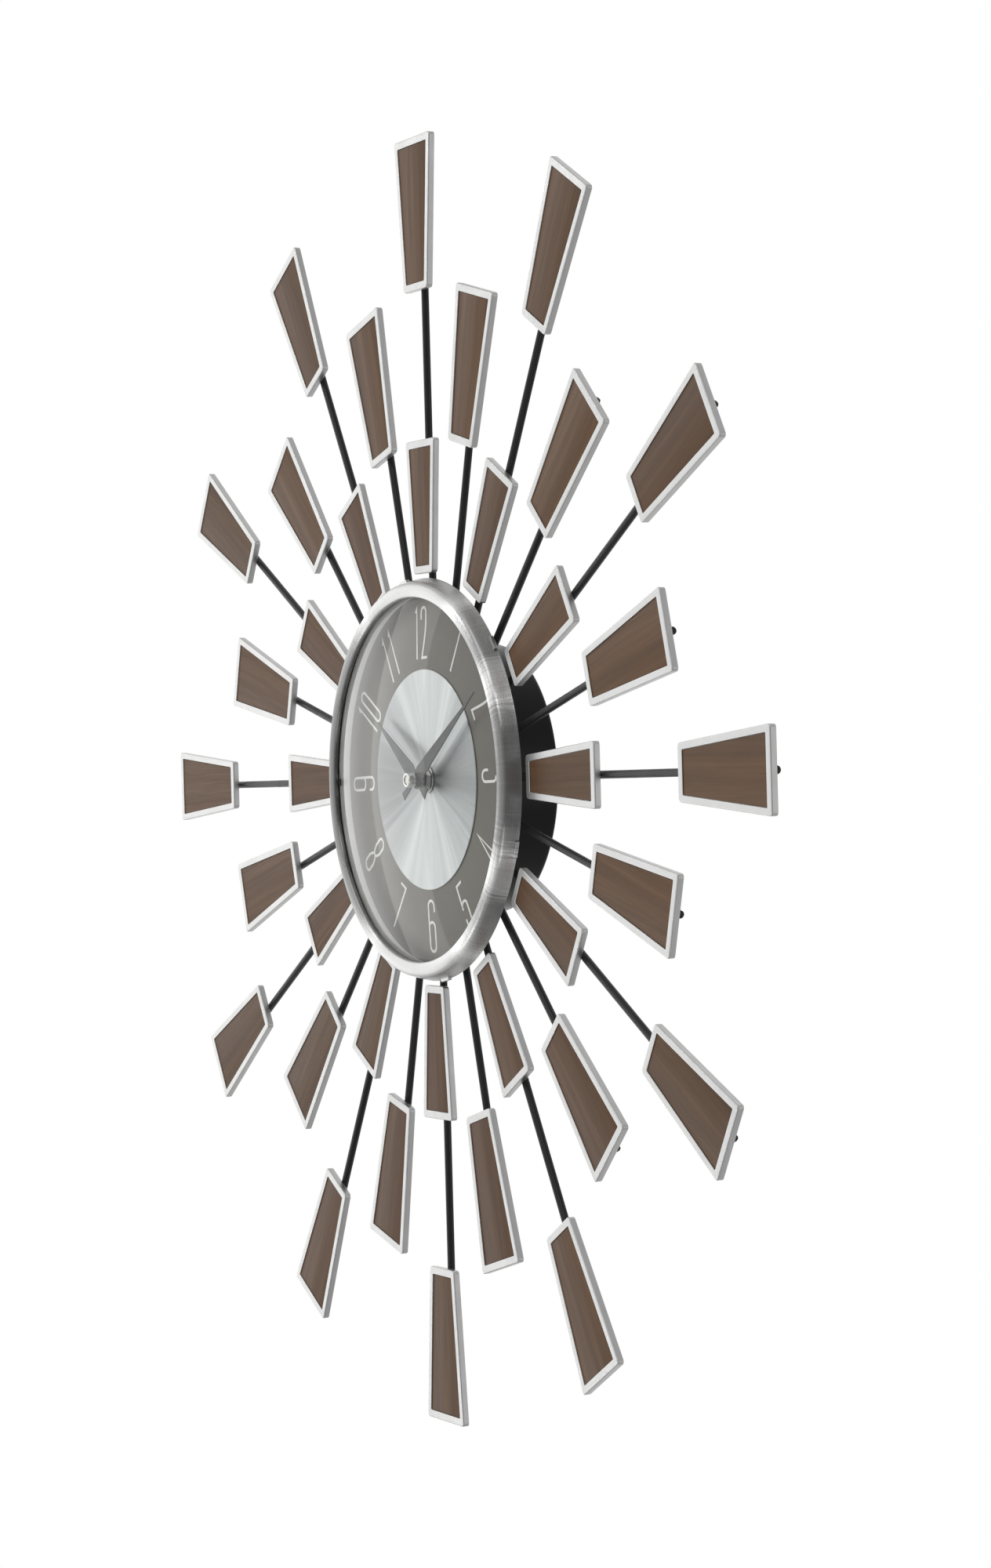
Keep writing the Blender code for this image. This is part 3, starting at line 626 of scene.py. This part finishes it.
for ray in range(RAYS):
    angle = 2 * math.pi * ray / RAYS
    rows = [("inner", INNER), ("outer", OUTER)] if ray % 2 == 0 else [("middle", MIDDLE)]
    for ring, size in rows:
        kind = "inner" if ring == "inner" else "outer"
        mid = (size[0] + size[1]) / 2
        at = (mid * math.sin(angle) / 1000, 0.0, mid * math.cos(angle) / 1000)
        place(
            f"tray_{ring}_{ray:02d}",
            tray_meshes[kind],
            SATIN,
            "case",
            nodes=[f"plate_{ring}_{ray:02d}"],
            spin=angle,
            at=at,
        )
        place(
            f"walnut_{ring}_{ray:02d}",
            panel_meshes[kind],
            WOOD,
            "case",
            spin=angle,
            at=at,
        )

# ------------------------------------------------------------- rods and hub

ROD_R, ROD_DEPTH, ROD_START = 1.8, 4.9, 57.0


def rod(angle, end):
    rows = [(ROD_START, ROD_R - 0.25), (ROD_START + 0.3, ROD_R), (end - 0.5, ROD_R)]
    rows += [(end - 0.24, ROD_R - 0.07), (end - 0.07, ROD_R - 0.25), (end, ROD_R - 0.52)]
    loops = []
    for r, radius in rows:
        loop = []
        for i in range(20):
            t = 2 * math.pi * i / 20
            side, back = radius * math.cos(t), radius * math.sin(t)
            loop.append(
                (
                    (r * math.sin(angle) + side * math.cos(angle)) / 1000,
                    y_of(ROD_DEPTH + back),
                    (r * math.cos(angle) - side * math.sin(angle)) / 1000,
                )
            )
        loops.append(loop)
    return loft(loops)


rods = join([rod(2 * math.pi * k / RAYS, 301.5 if k % 2 == 0 else 230.6) for k in range(RAYS)])
place("sun_rods", mesh_of("sun_rods", *rods, sharp=50), BLACK, "case", nodes=["spoke_frame"])

hub_profile = soften([(4.6, 3.1), (62.0, 3.1), (62.0, 6.7), (4.6, 6.7)], [0.3, 0.7, 0.7, 0.3])
place(
    "hub_plate",
    mesh_of("hub_plate", *ring_body(hub_profile, 128)),
    BLACK,
    "case",
    nodes=["spoke_frame"],
)


def clip(angle, r, width=6.0):
    """A pressed strap that goes over the rod behind a tray, with a rivet in each foot."""
    section = []
    for i in range(13):
        t = math.pi * i / 12
        section.append((2.36 * math.cos(t), ROD_DEPTH + 2.36 * math.sin(t)))
    outer = [(6.4, 2.86), (6.4, 3.40), (2.62, 3.40), (2.36, 3.66)] + section
    outer += [(-2.36, 3.66), (-2.62, 3.40), (-6.4, 3.40), (-6.4, 2.86)]
    inner = [(-2.30, 2.86), (-1.92, 3.24)]
    for i in range(13):
        t = math.pi - math.pi * i / 12
        inner.append((1.92 * math.cos(t), ROD_DEPTH + 1.92 * math.sin(t)))
    inner += [(1.92, 3.24), (2.30, 2.86)]
    loop = outer + inner
    parts = []
    loops = []
    for z, draw in ((-width / 2, 0.0), (width / 2, 0.0)):
        loops.append([to_row(angle, r + z, s, d) for s, d in loop])
    n = len(loop)
    verts = loops[0] + loops[1]
    faces = [(i, (i + 1) % n, n + (i + 1) % n, n + i) for i in range(n)]
    # The end caps as strips between the outer and the inner line
    o, k = len(outer), len(inner)
    for base, flip in ((0, False), (n, True)):
        a = [base + i for i in range(o)]
        b = [base + n - 1 - i for i in range(k)]
        steps = o + k - 2
        i = j = 0
        while i < o - 1 or j < k - 1:
            if j >= k - 1 or (i < o - 1 and (i + 1) / (o - 1) <= (j + 1) / (k - 1)):
                face = (a[i], a[i + 1], b[j])
                i += 1
            else:
                face = (a[i], b[j + 1], b[j])
                j += 1
            faces.append(tuple(reversed(face)) if flip else face)
    parts.append((verts, faces))
    for foot in (-4.4, 4.4):
        rings = []
        for radius, depth in ((1.0, 3.40), (1.0, 3.50), (0.88, 3.68), (0.6, 3.82), (0.2, 3.88)):
            rings.append(
                [
                    to_row(
                        angle,
                        r + radius * math.sin(2 * math.pi * i / 14),
                        foot + radius * math.cos(2 * math.pi * i / 14),
                        depth,
                    )
                    for i in range(14)
                ]
            )
        parts.append(loft(rings))
    return join(parts)


def to_row(angle, r, side, depth):
    return (
        (r * math.sin(angle) + side * math.cos(angle)) / 1000,
        y_of(depth),
        (r * math.cos(angle) - side * math.sin(angle)) / 1000,
    )


clips = []
for ray in range(RAYS):
    angle = 2 * math.pi * ray / RAYS
    for size in (INNER, OUTER) if ray % 2 == 0 else (MIDDLE,):
        span = size[1] - size[0]
        for share in (0.24, 0.76):
            clips.append(clip(angle, size[0] + share * span))
place("tray_clips", mesh_of("tray_clips", *join(clips), sharp=40), BLACK, "case")

# -------------------------------------------------------- drum, pan and bezel

drum_profile = [(4.6, 7.0), (61.0, 7.0), (61.9, 7.08), (62.8, 7.35), (63.6, 7.9), (64.15, 8.7), (64.36, 9.6), (64.4, 10.6)]
drum_profile += [(64.4, 33.0), (64.34, 33.8), (64.1, 34.5), (63.75, 34.95), (63.3, 35.15), (62.95, 35.15), (62.9, 35.0), (62.9, 33.7)]
drum_profile += [(61.8, 33.7), (61.8, 10.2), (61.5, 9.4), (60.7, 9.2), (4.6, 8.3)]
place(
    "drum_shell",
    mesh_of("drum_shell", *ring_body(drum_profile, 160), sharp=50),
    GLOSS,
    "case",
    nodes=["case_drum"],
)

pan_profile = soften(
    [(4.6, 0.5), (88.2, 0.5), (88.2, -5.3), (89.6, -5.3), (89.6, -1.2), (94.0, -1.2), (94.0, -0.3), (91.0, -0.3), (91.0, 1.3), (61.0, 1.3), (61.0, 2.8), (40.0, 2.8), (40.0, 1.3), (4.6, 1.3)],
    [0.1, 0.5, 0.3, 0.3, 0.6, 0.2, 0.2, 0.5, 0.6, 0.4, 0.5, 0.5, 0.4, 0.1],
    steps=3,
)
place(
    "dial_pan_shell",
    mesh_of("dial_pan_shell", *ring_body(pan_profile, 160), sharp=50),
    PAN,
    "case",
    nodes=["dial_pan"],
)


def curve_through(points, steps=5):
    """A smooth open line through the points, by Catmull-Rom."""
    out = []
    for i in range(len(points) - 1):
        p0 = Vector(points[max(i - 1, 0)])
        p1, p2 = Vector(points[i]), Vector(points[i + 1])
        p3 = Vector(points[min(i + 2, len(points) - 1)])
        for s in range(steps):
            u = s / steps
            v = 0.5 * (
                2 * p1
                + (p2 - p0) * u
                + (2 * p0 - 5 * p1 + 4 * p2 - p3) * u * u
                + (3 * p1 - p0 - 3 * p2 + p3) * u**3
            )
            out.append((v.x, v.y))
    out.append(tuple(points[-1]))
    return out


bezel_front = curve_through([(86.3, -7.25), (86.3, -8.0), (86.42, -8.8), (86.8, -9.3), (87.4, -9.52), (88.4, -9.66), (89.6, -9.75), (90.8, -9.68), (91.8, -9.46), (92.6, -9.05), (93.15, -8.5), (93.55, -7.8), (94.0, -6.5), (94.45, -4.9), (94.85, -3.3), (95.2, -1.9), (95.5, -0.98)], 4)
bezel_back = curve_through([(95.35, -0.9), (94.55, -0.9), (94.3, -1.6), (93.7, -3.9), (92.9, -6.4), (91.7, -8.0), (90.0, -8.5), (88.1, -8.3), (87.3, -7.5), (87.0, -7.2), (86.5, -7.15)], 3)
place(
    "bezel_ring",
    mesh_of("bezel_ring", *ring_body(bezel_front + bezel_back, 200), sharp=55),
    POLISHED,
    "case",
    nodes=["bezel"],
)


def block(angle, r, depth, along, high, deep, ease=0.25):
    """An eased block: along the circle, outwards and in depth, about a middle point."""
    loops = []
    for d, inset in ((-deep / 2, ease), (-deep / 2 + 0.3 * ease, 0.3 * ease), (-deep / 2 + ease, 0.0), (deep / 2 - ease, 0.0), (deep / 2 - 0.3 * ease, 0.3 * ease), (deep / 2, ease)):
        a, b = along / 2 - inset, high / 2 - inset
        flat = soften([(-a, -b), (a, -b), (a, b), (-a, b)], 0.35, steps=3)
        loops.append([to_row(angle, r + v, u, depth + d) for u, v in flat])
    return loft(loops)


tabs = [block(math.radians(50 + 60 * k), 95.4, -2.0, 8.0, 2.0, 1.9) for k in range(6)]
place("bezel_tabs", mesh_of("bezel_tabs", *join(tabs), sharp=50), POLISHED, "case")
key = block(math.radians(270), 84.2, -7.15, 3.4, 1.5, 0.9, 0.15)
place("bezel_key", mesh_of("bezel_key", *key, sharp=50), BLACK, "case")

# --------------------------------------------------------------------- lens


def dome(r, inner):
    depth = -6.8 - 10.8 * (1 - (min(r, 86.0) / 86.0) ** 2.4)
    return depth + (1.1 if inner else 0.0)


outside = [(r, dome(r, False)) for r in [0.3, 3, 8, 14, 20, 26, 32, 38, 44, 50, 55, 60, 64, 68, 71.5, 75, 78, 80.5, 82.5, 84.2, 85.4, 86.0]]
inside = [(r, dome(r, True)) for r in reversed([0.3, 3, 8, 14, 20, 26, 32, 38, 44, 50, 55, 60, 64, 68, 71.5, 75, 78, 80.5, 82.5, 84.2])]
lens_rows = outside + [(86.6, -6.8), (89.6, -6.8), (89.8, -6.65), (89.8, -5.75), (89.6, -5.6), (85.4, -5.6)] + inside
lens_loops = [[polar(r, 2 * math.pi * i / 144, d) for i in range(144)] for r, d in lens_rows]
place(
    "lens_dome",
    mesh_of("lens_dome", *loft(lens_loops), sharp=45),
    GLASS,
    "case",
    nodes=["lens"],
)

# --------------------------------------------------------------------- dial

DIAL_TURN = math.radians(-1.0)


def dial_depth(r):
    return -1.45 + 1.15 * (r - 50.0) / 37.0


ring_rows = [(r, dial_depth(r)) for r in (50.2, 52, 56, 60, 64, 68, 72, 76, 80, 84, 87.0)]
ring_rows += [(87.4, dial_depth(87.4) + 0.06), (87.55, dial_depth(87.4) + 0.25), (87.4, dial_depth(87.4) + 0.45), (87.0, dial_depth(87.0) + 0.5)]
ring_rows += [(r, dial_depth(r) + 0.5) for r in (84, 80, 72, 64, 56, 50.2)]
place(
    "dial_ring",
    mesh_of("dial_ring", *ring_body(ring_rows, 160), sharp=60),
    TAUPE,
    "case",
    nodes=["dial_plate"],
)

disc_front = [(r, -0.30 - 1.7 * (r / 52.4) ** 2) for r in (4.6, 8, 12, 16, 20, 24, 28, 32, 36, 40, 44, 47, 49.5, 51.4)]
disc_rows = [(4.45, -0.22)] + disc_front + [(51.95, -1.97), (52.3, -1.85), (52.4, -1.68), (52.3, -1.52), (51.9, -1.45)]
disc_rows += [(r, -0.30 - 1.7 * (r / 52.4) ** 2 + 0.5) for r in (51.4, 48, 44, 36, 28, 20, 12, 8, 4.6)] + [(4.45, 0.12)]
place(
    "dial_disc",
    mesh_of("dial_disc", *ring_body(disc_rows, 160), sharp=50),
    SPUN,
    "case",
    nodes=["dial_centre"],
)

# The numerals: tall condensed figures drawn as even strokes, u to the right and v up, in mm


def arc(cx, cy, rx, ry, start, end, n=10):
    return [
        (
            cx + rx * math.cos(math.radians(start + (end - start) * i / n)),
            cy + ry * math.sin(math.radians(start + (end - start) * i / n)),
        )
        for i in range(n + 1)
    ]


ZERO = [arc(0, 9.4, 2.55, 2.8, 0, 180, 12) + arc(0, -9.4, 2.55, 2.8, 180, 360, 12)]
ONE = [[(-1.35, 9.9), (0.0, 12.1), (0.0, -12.2)]]
TWO = [[(-2.5, 6.4), (-2.5, 9.5)] + arc(0, 9.7, 2.5, 2.5, 180, 0, 10)[1:] + [(2.5, 6.5), (2.25, 3.4), (1.5, -0.6), (0.3, -4.8), (-1.1, -9.0), (-1.9, -11.7), (3.4, -11.7)]]
THREE = [[(-2.6, 6.9), (-2.6, 9.5)] + arc(0, 9.7, 2.6, 2.5, 180, 0, 10)[1:] + [(2.6, 4.6)] + arc(1.0, 2.8, 1.6, 1.9, 20, -60, 4)[1:] + [(0.2, 0.7)], [(0.2, 0.7)] + arc(0.9, -1.8, 1.9, 2.3, 80, 0, 5) + [(2.8, -9.4)] + arc(0.1, -9.5, 2.7, 2.6, 0, -180, 10)[1:] + [(-2.6, -6.6)]]
FOUR = [[(2.0, -12.2), (2.0, 12.0), (-3.1, -6.6), (4.0, -6.6)]]
FIVE = [[(3.4, 11.7), (-1.9, 11.7), (-2.5, -0.6)], [(-2.4, 0.9)] + arc(0.15, 0.6, 2.45, 2.2, 150, 0, 9) + [(2.6, -9.3)] + arc(0.1, -9.4, 2.5, 2.7, 0, -180, 10)[1:] + [(-2.4, -5.4)]]
SIX = [[(3.0, 6.6), (3.0, 9.2)] + arc(0, 9.3, 3.0, 2.8, 0, 180, 12)[1:] + [(-3.0, -9.0)] + arc(0, -9.3, 3.0, 2.8, 180, 360, 12) + [(3.0, -0.5)] + arc(0, -0.7, 3.0, 2.6, 0, 165, 10)[1:]]
SEVEN = [[(-2.6, 11.7), (3.1, 11.7), (-1.6, -12.2)]]
EIGHT = [arc(0, 9.4, 2.8, 2.7, 10, 170, 8) + [(-2.8, 4.4), (-1.7, 1.2), (-0.6, 0.0), (-1.8, -1.4), (-3.0, -4.8), (-3.0, -8.8)] + arc(0, -9.4, 3.0, 2.7, 190, 350, 8) + [(3.0, -4.8), (1.8, -1.4), (0.6, 0.0), (1.7, 1.2), (2.8, 4.4)]]
NINE = [[(-u, -v) for u, v in stroke] for stroke in SIX]
DIGITS = {"0": ZERO, "1": ONE, "2": TWO, "3": THREE, "4": FOUR, "5": FIVE, "6": SIX, "7": SEVEN, "8": EIGHT, "9": NINE}
LOOPED = {"0", "8"}
STROKE = 1.28
NUMERAL_R = 69.6


def ribbon(points, closed):
    """Left and right edges of an even stroke along the points, with mitred joints."""
    n = len(points)
    left, right = [], []
    for i in range(n):
        here = Vector(points[i])
        before = Vector(points[(i - 1) % n]) if closed or i > 0 else None
        after = Vector(points[(i + 1) % n]) if closed or i < n - 1 else None
        one = (here - before).normalized() if before is not None else None
        two = (after - here).normalized() if after is not None else None
        one, two = one or two, two or one
        across = Vector((-one.y, one.x)) + Vector((-two.y, two.x))
        across.normalize()
        long = min(1.0 / max(across.dot(Vector((-one.y, one.x))), 0.3), 2.4)
        left.append(here + across * long * STROKE / 2)
        right.append(here - across * long * STROKE / 2)
    return left, right


def glyph(digit, offset, hour):
    inward = 4 <= hour <= 8
    angle = 2 * math.pi * hour / 12 + DIAL_TURN
    parts = []
    for stroke in DIGITS[digit]:
        closed = digit in LOOPED
        left, right = ribbon(stroke, closed)
        verts, faces = [], []
        n = len(left)
        for lift in (-0.07, 0.05):
            for edge in (left, right):
                for p in edge:
                    u, v = p.x + offset, p.y
                    if inward:
                        u, v = -u, -v
                    r = NUMERAL_R + v
                    far = math.hypot(r, u)
                    verts.append(to_row(angle, r, u, dial_depth(far) + lift))
        count = n if closed else n - 1
        for i in range(count):
            j = (i + 1) % n
            tl, tr, bl, br = 0, n, 2 * n, 3 * n
            faces.append((tl + i, tl + j, tr + j, tr + i))
            faces.append((bl + i, br + i, br + j, bl + j))
            faces.append((tl + i, bl + i, bl + j, tl + j))
            faces.append((tr + i, tr + j, br + j, br + i))
        if not closed:
            for i in (0, n - 1):
                faces.append((i, n + i, 3 * n + i, 2 * n + i))
        parts.append((verts, faces))
    return join(parts)


for hour in range(1, 13):
    text = str(hour)
    if text == "12":
        spots = [("1", -5.6), ("2", 1.5)]
    elif text == "11":
        spots = [("1", -3.5), ("1", 4.0)]
    elif text == "10":
        spots = [("1", -4.2), ("0", 2.9)]
    else:
        spots = [(text, 0.0)]
    shapes = join([glyph(d, offset, hour) for d, offset in spots])
    place(
        f"numeral_{hour:02d}",
        mesh_of(f"numeral_{hour:02d}", *shapes, sharp=40),
        INK,
        "case",
        weighted=False,
    )

# ----------------------------------------------------- nut, washer, cap nut

washer = soften([(4.4, -0.8), (6.5, -0.8), (6.5, -1.4), (4.4, -1.4)], [0.05, 0.12, 0.18, 0.1], steps=3)
place("dial_washer_fine", mesh_of("dial_washer_fine", *ring_body(washer, 72), sharp=50), NICKEL, "case", nodes=["dial_washer"])


def hexagon(limit, depth, turn=math.radians(12)):
    apothem = 6.1 * math.cos(math.pi / 6)

    def at(angle):
        step = math.pi / 3
        local = (angle - turn + step / 2) % step - step / 2
        # The nut's corners lie at turn + k * 60 degrees, so its flats lie half way between
        flat = apothem / math.cos(step / 2 - abs(local))
        return (min(flat, limit, 6.08), depth)

    return at


nut_rows = [(4.32, -1.75), (4.5, -1.72), (5.15, -1.70), hexagon(5.5, -1.70), hexagon(5.85, -1.80), hexagon(6.2, -2.02)]
nut_rows += [hexagon(6.2, -3.56), hexagon(5.85, -3.80), hexagon(5.5, -3.90), (5.0, -3.90), (4.55, -3.88), (4.32, -3.70)]
place("dial_nut_fine", mesh_of("dial_nut_fine", *ring_body(nut_rows, 144), sharp=24), NICKEL, "case", nodes=["dial_nut"])

cap_rows = soften([(2.08, -7.95), (3.2, -7.95), (3.58, -8.35), (3.58, -9.2), (3.42, -9.35), (3.58, -9.5), (3.58, -11.75), (3.25, -12.28), (2.35, -12.28), (2.08, -12.0)], 0.16, steps=3)
place("cap_nut_fine", mesh_of("cap_nut_fine", *ring_body(cap_rows, 72), sharp=60), nickel("nickel_bright", (0.80, 0.79, 0.77), 0.10, 0.18), "minute_work", nodes=["cap_nut"])

# ------------------------------------------------- carried-over CAD nodes


def dress(name, material, ease=0.12, angle=40.0):
    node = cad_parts[name]
    node.data.materials.clear()
    node.data.materials.append(material)
    weld = node.modifiers.new("weld", "WELD")
    weld.merge_threshold = 1e-6
    if ease:
        bevel = node.modifiers.new("eased", "BEVEL")
        bevel.width = ease / 1000
        bevel.segments = 2
        bevel.limit_method = "ANGLE"
        bevel.angle_limit = math.radians(angle)
        bevel.use_clamp_overlap = True
        bevel.harden_normals = False
    even = node.modifiers.new("even_normals", "WEIGHTED_NORMAL")
    even.keep_sharp = False
    even.weight = 80
    return node


COVER = moulded("cover_board", (0.016, 0.016, 0.017), (0.026, 0.026, 0.027), 0.50, 0.62, grain=1100, height=0.00010, strength=0.35)
MOVEMENT = moulded("movement_black", (0.013, 0.013, 0.014), (0.021, 0.021, 0.022), 0.36, 0.48, grain=2400)
RUBBER = moulded("rubber", (0.018, 0.018, 0.018), (0.028, 0.028, 0.028), 0.72, 0.86, grain=1800)
ACETAL = moulded("white_acetal", (0.74, 0.73, 0.69), (0.66, 0.65, 0.61), 0.34, 0.44, grain=2600, strength=0.12)
BOARD = moulded("circuit_green", (0.018, 0.105, 0.045), (0.026, 0.135, 0.060), 0.30, 0.42, grain=900)
COPPER = brushed("copper_winding", (0.62, 0.27, 0.13), (0.48, 0.19, 0.085), 0.22, 0.36, 90, 2600, 2600)
BRASS = brushed("brass", (0.72, 0.52, 0.24), (0.60, 0.42, 0.18), 0.18, 0.30, 2400, 90, 2400)
STEEL = brushed("arbor_steel", (0.66, 0.65, 0.63), (0.55, 0.54, 0.52), 0.18, 0.28, 2400, 90, 2400)
JACKET = brushed("cell_jacket", (0.075, 0.080, 0.095), (0.055, 0.058, 0.070), 0.20, 0.30, 40, 900, 900)

for node, material, slot, ease in (
    ("rear_cover", COVER, "cover_board", 0.25),
    ("movement_case", MOVEMENT, "movement_black", 0.30),
    ("movement_back", MOVEMENT, "movement_black", 0.30),
    ("battery", JACKET, "cell_jacket", 0.35),
    ("mount_gasket", RUBBER, "rubber", 0.15),
    ("circuit_board", BOARD, "circuit_green", 0.08),
    ("stepper_coil", COPPER, "copper_winding", 0.20),
    ("centre_arbor", STEEL, "brass", 0.08),
    ("hour_wheel", ACETAL, "white_acetal", 0.0),
    ("motion_wheel", ACETAL, "white_acetal", 0.0),
    ("third_wheel", ACETAL, "white_acetal", 0.0),
    ("setting_knob", ACETAL, "white_acetal", 0.12),
    ("hour_hand", HAND, "hand_grey", 0.10),
    ("minute_hand", HAND, "hand_grey", 0.10),
):
    dress(node, material, ease)

# --------------------------------------------------------------- the studio

camera_at = Vector((1.48914, -0.77953, -0.00092))
target = Vector((0.06790, -0.0352, -0.00290))
forward = (target - camera_at).normalized()
right = forward.cross(Vector((0, 0, 1))).normalized()
up = right.cross(forward)
roll = math.radians(-1.5469)
x_axis = math.cos(roll) * right + math.sin(roll) * up
y_axis = -math.sin(roll) * right + math.cos(roll) * up
data = bpy.data.cameras.new("camera")
data.sensor_fit = "AUTO"
data.sensor_width = 36.0
data.lens = 80.53
data.clip_start = 0.05
data.clip_end = 20.0
camera = bpy.data.objects.new("camera", data)
matrix = Matrix((x_axis, y_axis, -forward)).transposed().to_4x4()
matrix.translation = camera_at
camera.matrix_world = matrix
scene.collection.objects.link(camera)
scene.camera = camera

world = bpy.data.worlds.new("studio")
scene.world = world
world.use_nodes = True
tree = world.node_tree
tree.nodes.clear()
out = tree.nodes.new("ShaderNodeOutputWorld")
seen = tree.nodes.new("ShaderNodeBackground")
seen.inputs["Color"].default_value = (1, 1, 1, 1)
seen.inputs["Strength"].default_value = 1.0
lit = tree.nodes.new("ShaderNodeBackground")
lit.inputs["Strength"].default_value = 1.0
way = tree.nodes.new("ShaderNodeTexCoord")
toward = tree.nodes.new("ShaderNodeVectorMath")
toward.operation = "DOT_PRODUCT"
toward.inputs[1].default_value = Vector((-0.80, -0.55, 0.12)).normalized()
fade = tree.nodes.new("ShaderNodeMapRange")
fade.interpolation_type = "SMOOTHSTEP"
fade.inputs[1].default_value = -0.75
fade.inputs[2].default_value = 0.85
fade.inputs[3].default_value = 0.20
fade.inputs[4].default_value = 0.62
path = tree.nodes.new("ShaderNodeLightPath")
mix = tree.nodes.new("ShaderNodeMixShader")
tree.links.new(way.outputs["Generated"], toward.inputs[0])
tree.links.new(toward.outputs["Value"], fade.inputs[0])
level = fade.outputs[0]
for aim, start, end, extra in (((-1.0, 0.06, 0.0), 0.84, 0.97, 0.80), ((0.886, 0.464, 0.0), 0.90, 0.975, 0.26), ((0.0, 1.0, 0.0), 0.22, 0.50, 0.32)):
    lobe = tree.nodes.new("ShaderNodeVectorMath")
    lobe.operation = "DOT_PRODUCT"
    lobe.inputs[1].default_value = Vector(aim).normalized()
    rise = tree.nodes.new("ShaderNodeMapRange")
    rise.interpolation_type = "SMOOTHSTEP"
    rise.inputs[1].default_value = start
    rise.inputs[2].default_value = end
    rise.inputs[3].default_value = 0.0
    rise.inputs[4].default_value = extra
    total = tree.nodes.new("ShaderNodeMath")
    total.operation = "ADD"
    tree.links.new(way.outputs["Generated"], lobe.inputs[0])
    tree.links.new(lobe.outputs["Value"], rise.inputs[0])
    tree.links.new(level, total.inputs[0])
    tree.links.new(rise.outputs[0], total.inputs[1])
    level = total.outputs[0]
tree.links.new(level, lit.inputs["Color"])
tree.links.new(path.outputs["Is Camera Ray"], mix.inputs[0])
tree.links.new(lit.outputs[0], mix.inputs[1])
tree.links.new(seen.outputs[0], mix.inputs[2])
tree.links.new(mix.outputs[0], out.inputs[0])


def softbox(name, at, aim, width, height, power):
    light = bpy.data.lights.new(name, "AREA")
    light.shape = "RECTANGLE"
    light.size = width
    light.size_y = height
    light.energy = power
    obj = bpy.data.objects.new(name, light)
    at, aim = Vector(at), Vector(aim)
    obj.matrix_world = Matrix.Translation(at) @ (aim - at).to_track_quat("-Z", "Y").to_matrix().to_4x4()
    obj.visible_camera = False
    scene.collection.objects.link(obj)
    return obj


softbox("mirror_side", (-1.68, -0.88, 0.0), (0, 0, 0), 0.55, 2.2, 2.4)
softbox("strip_high", (-1.30, -1.32, 0.68), (0, 0, 0), 0.13, 0.42, 1.15)
softbox("strip_low", (-1.24, -1.40, -0.67), (0, 0, 0), 0.13, 0.42, 1.05)
softbox("front_high", (-0.92, -1.72, 0.46), (0, 0, 0), 0.12, 0.30, 0.36)
softbox("front_low", (-0.92, -1.72, -0.42), (0, 0, 0), 0.12, 0.30, 0.32)
softbox("top_front", (0.2, -1.6, 1.9), (0, 0, 0), 1.8, 1.0, 5.0)
softbox("right_high", (1.55, -0.9, 1.25), (0, 0, 0), 0.35, 0.6, 2.4)
softbox("right_low", (1.45, -0.9, -1.15), (0, 0, 0), 0.35, 0.6, 1.7)

# The small lamps stay out of the lens, which mirrors only the room and the large panel.
unlit = bpy.data.collections.new("out_of_small_lamps")
unlit.objects.link(bpy.data.objects["lens_dome"])
unlit.collection_objects[0].light_linking.link_state = "EXCLUDE"
for lamp in ("strip_high", "strip_low", "front_high", "front_low"):
    bpy.data.objects[lamp].light_linking.receiver_collection = unlit

wall = bpy.data.collections.new("pan_wall_only")
wall.objects.link(bpy.data.objects["dial_pan_shell"])
softbox("pan_fill", (0.9, -1.0, 0.0), (0, 0, 0), 0.5, 0.5, 16.0).light_linking.receiver_collection = wall

passed = bpy.data.collections.new("no_block_of_panel")
for hand_name in ("hour_hand", "minute_hand"):
    passed.objects.link(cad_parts[hand_name])
for link in passed.collection_objects:
    link.light_linking.link_state = "EXCLUDE"
bpy.data.objects["mirror_side"].light_linking.blocker_collection = passed

floor_verts = [(-0.68, -0.68, -0.64), (0.68, -0.68, -0.64), (0.68, 0.68, -0.64), (-0.68, 0.68, -0.64)]
floor_mesh = bpy.data.meshes.new("floor")
floor_mesh.from_pydata(floor_verts, [], [(0, 1, 2, 3)])
floor = bpy.data.objects.new("floor", floor_mesh)
pale = Finish("pale_floor", Roughness=0.6)
spread = pale.noise(pale.place(), scale=6, detail=2)
pale.into("Base Color", pale.blend(pale.span(spread, 0.3, 0.7, 0, 1), (0.83, 0.83, 0.825), (0.80, 0.80, 0.795)))
floor_mesh.materials.append(pale.material)
scene.collection.objects.link(floor)
floor.visible_glossy = False
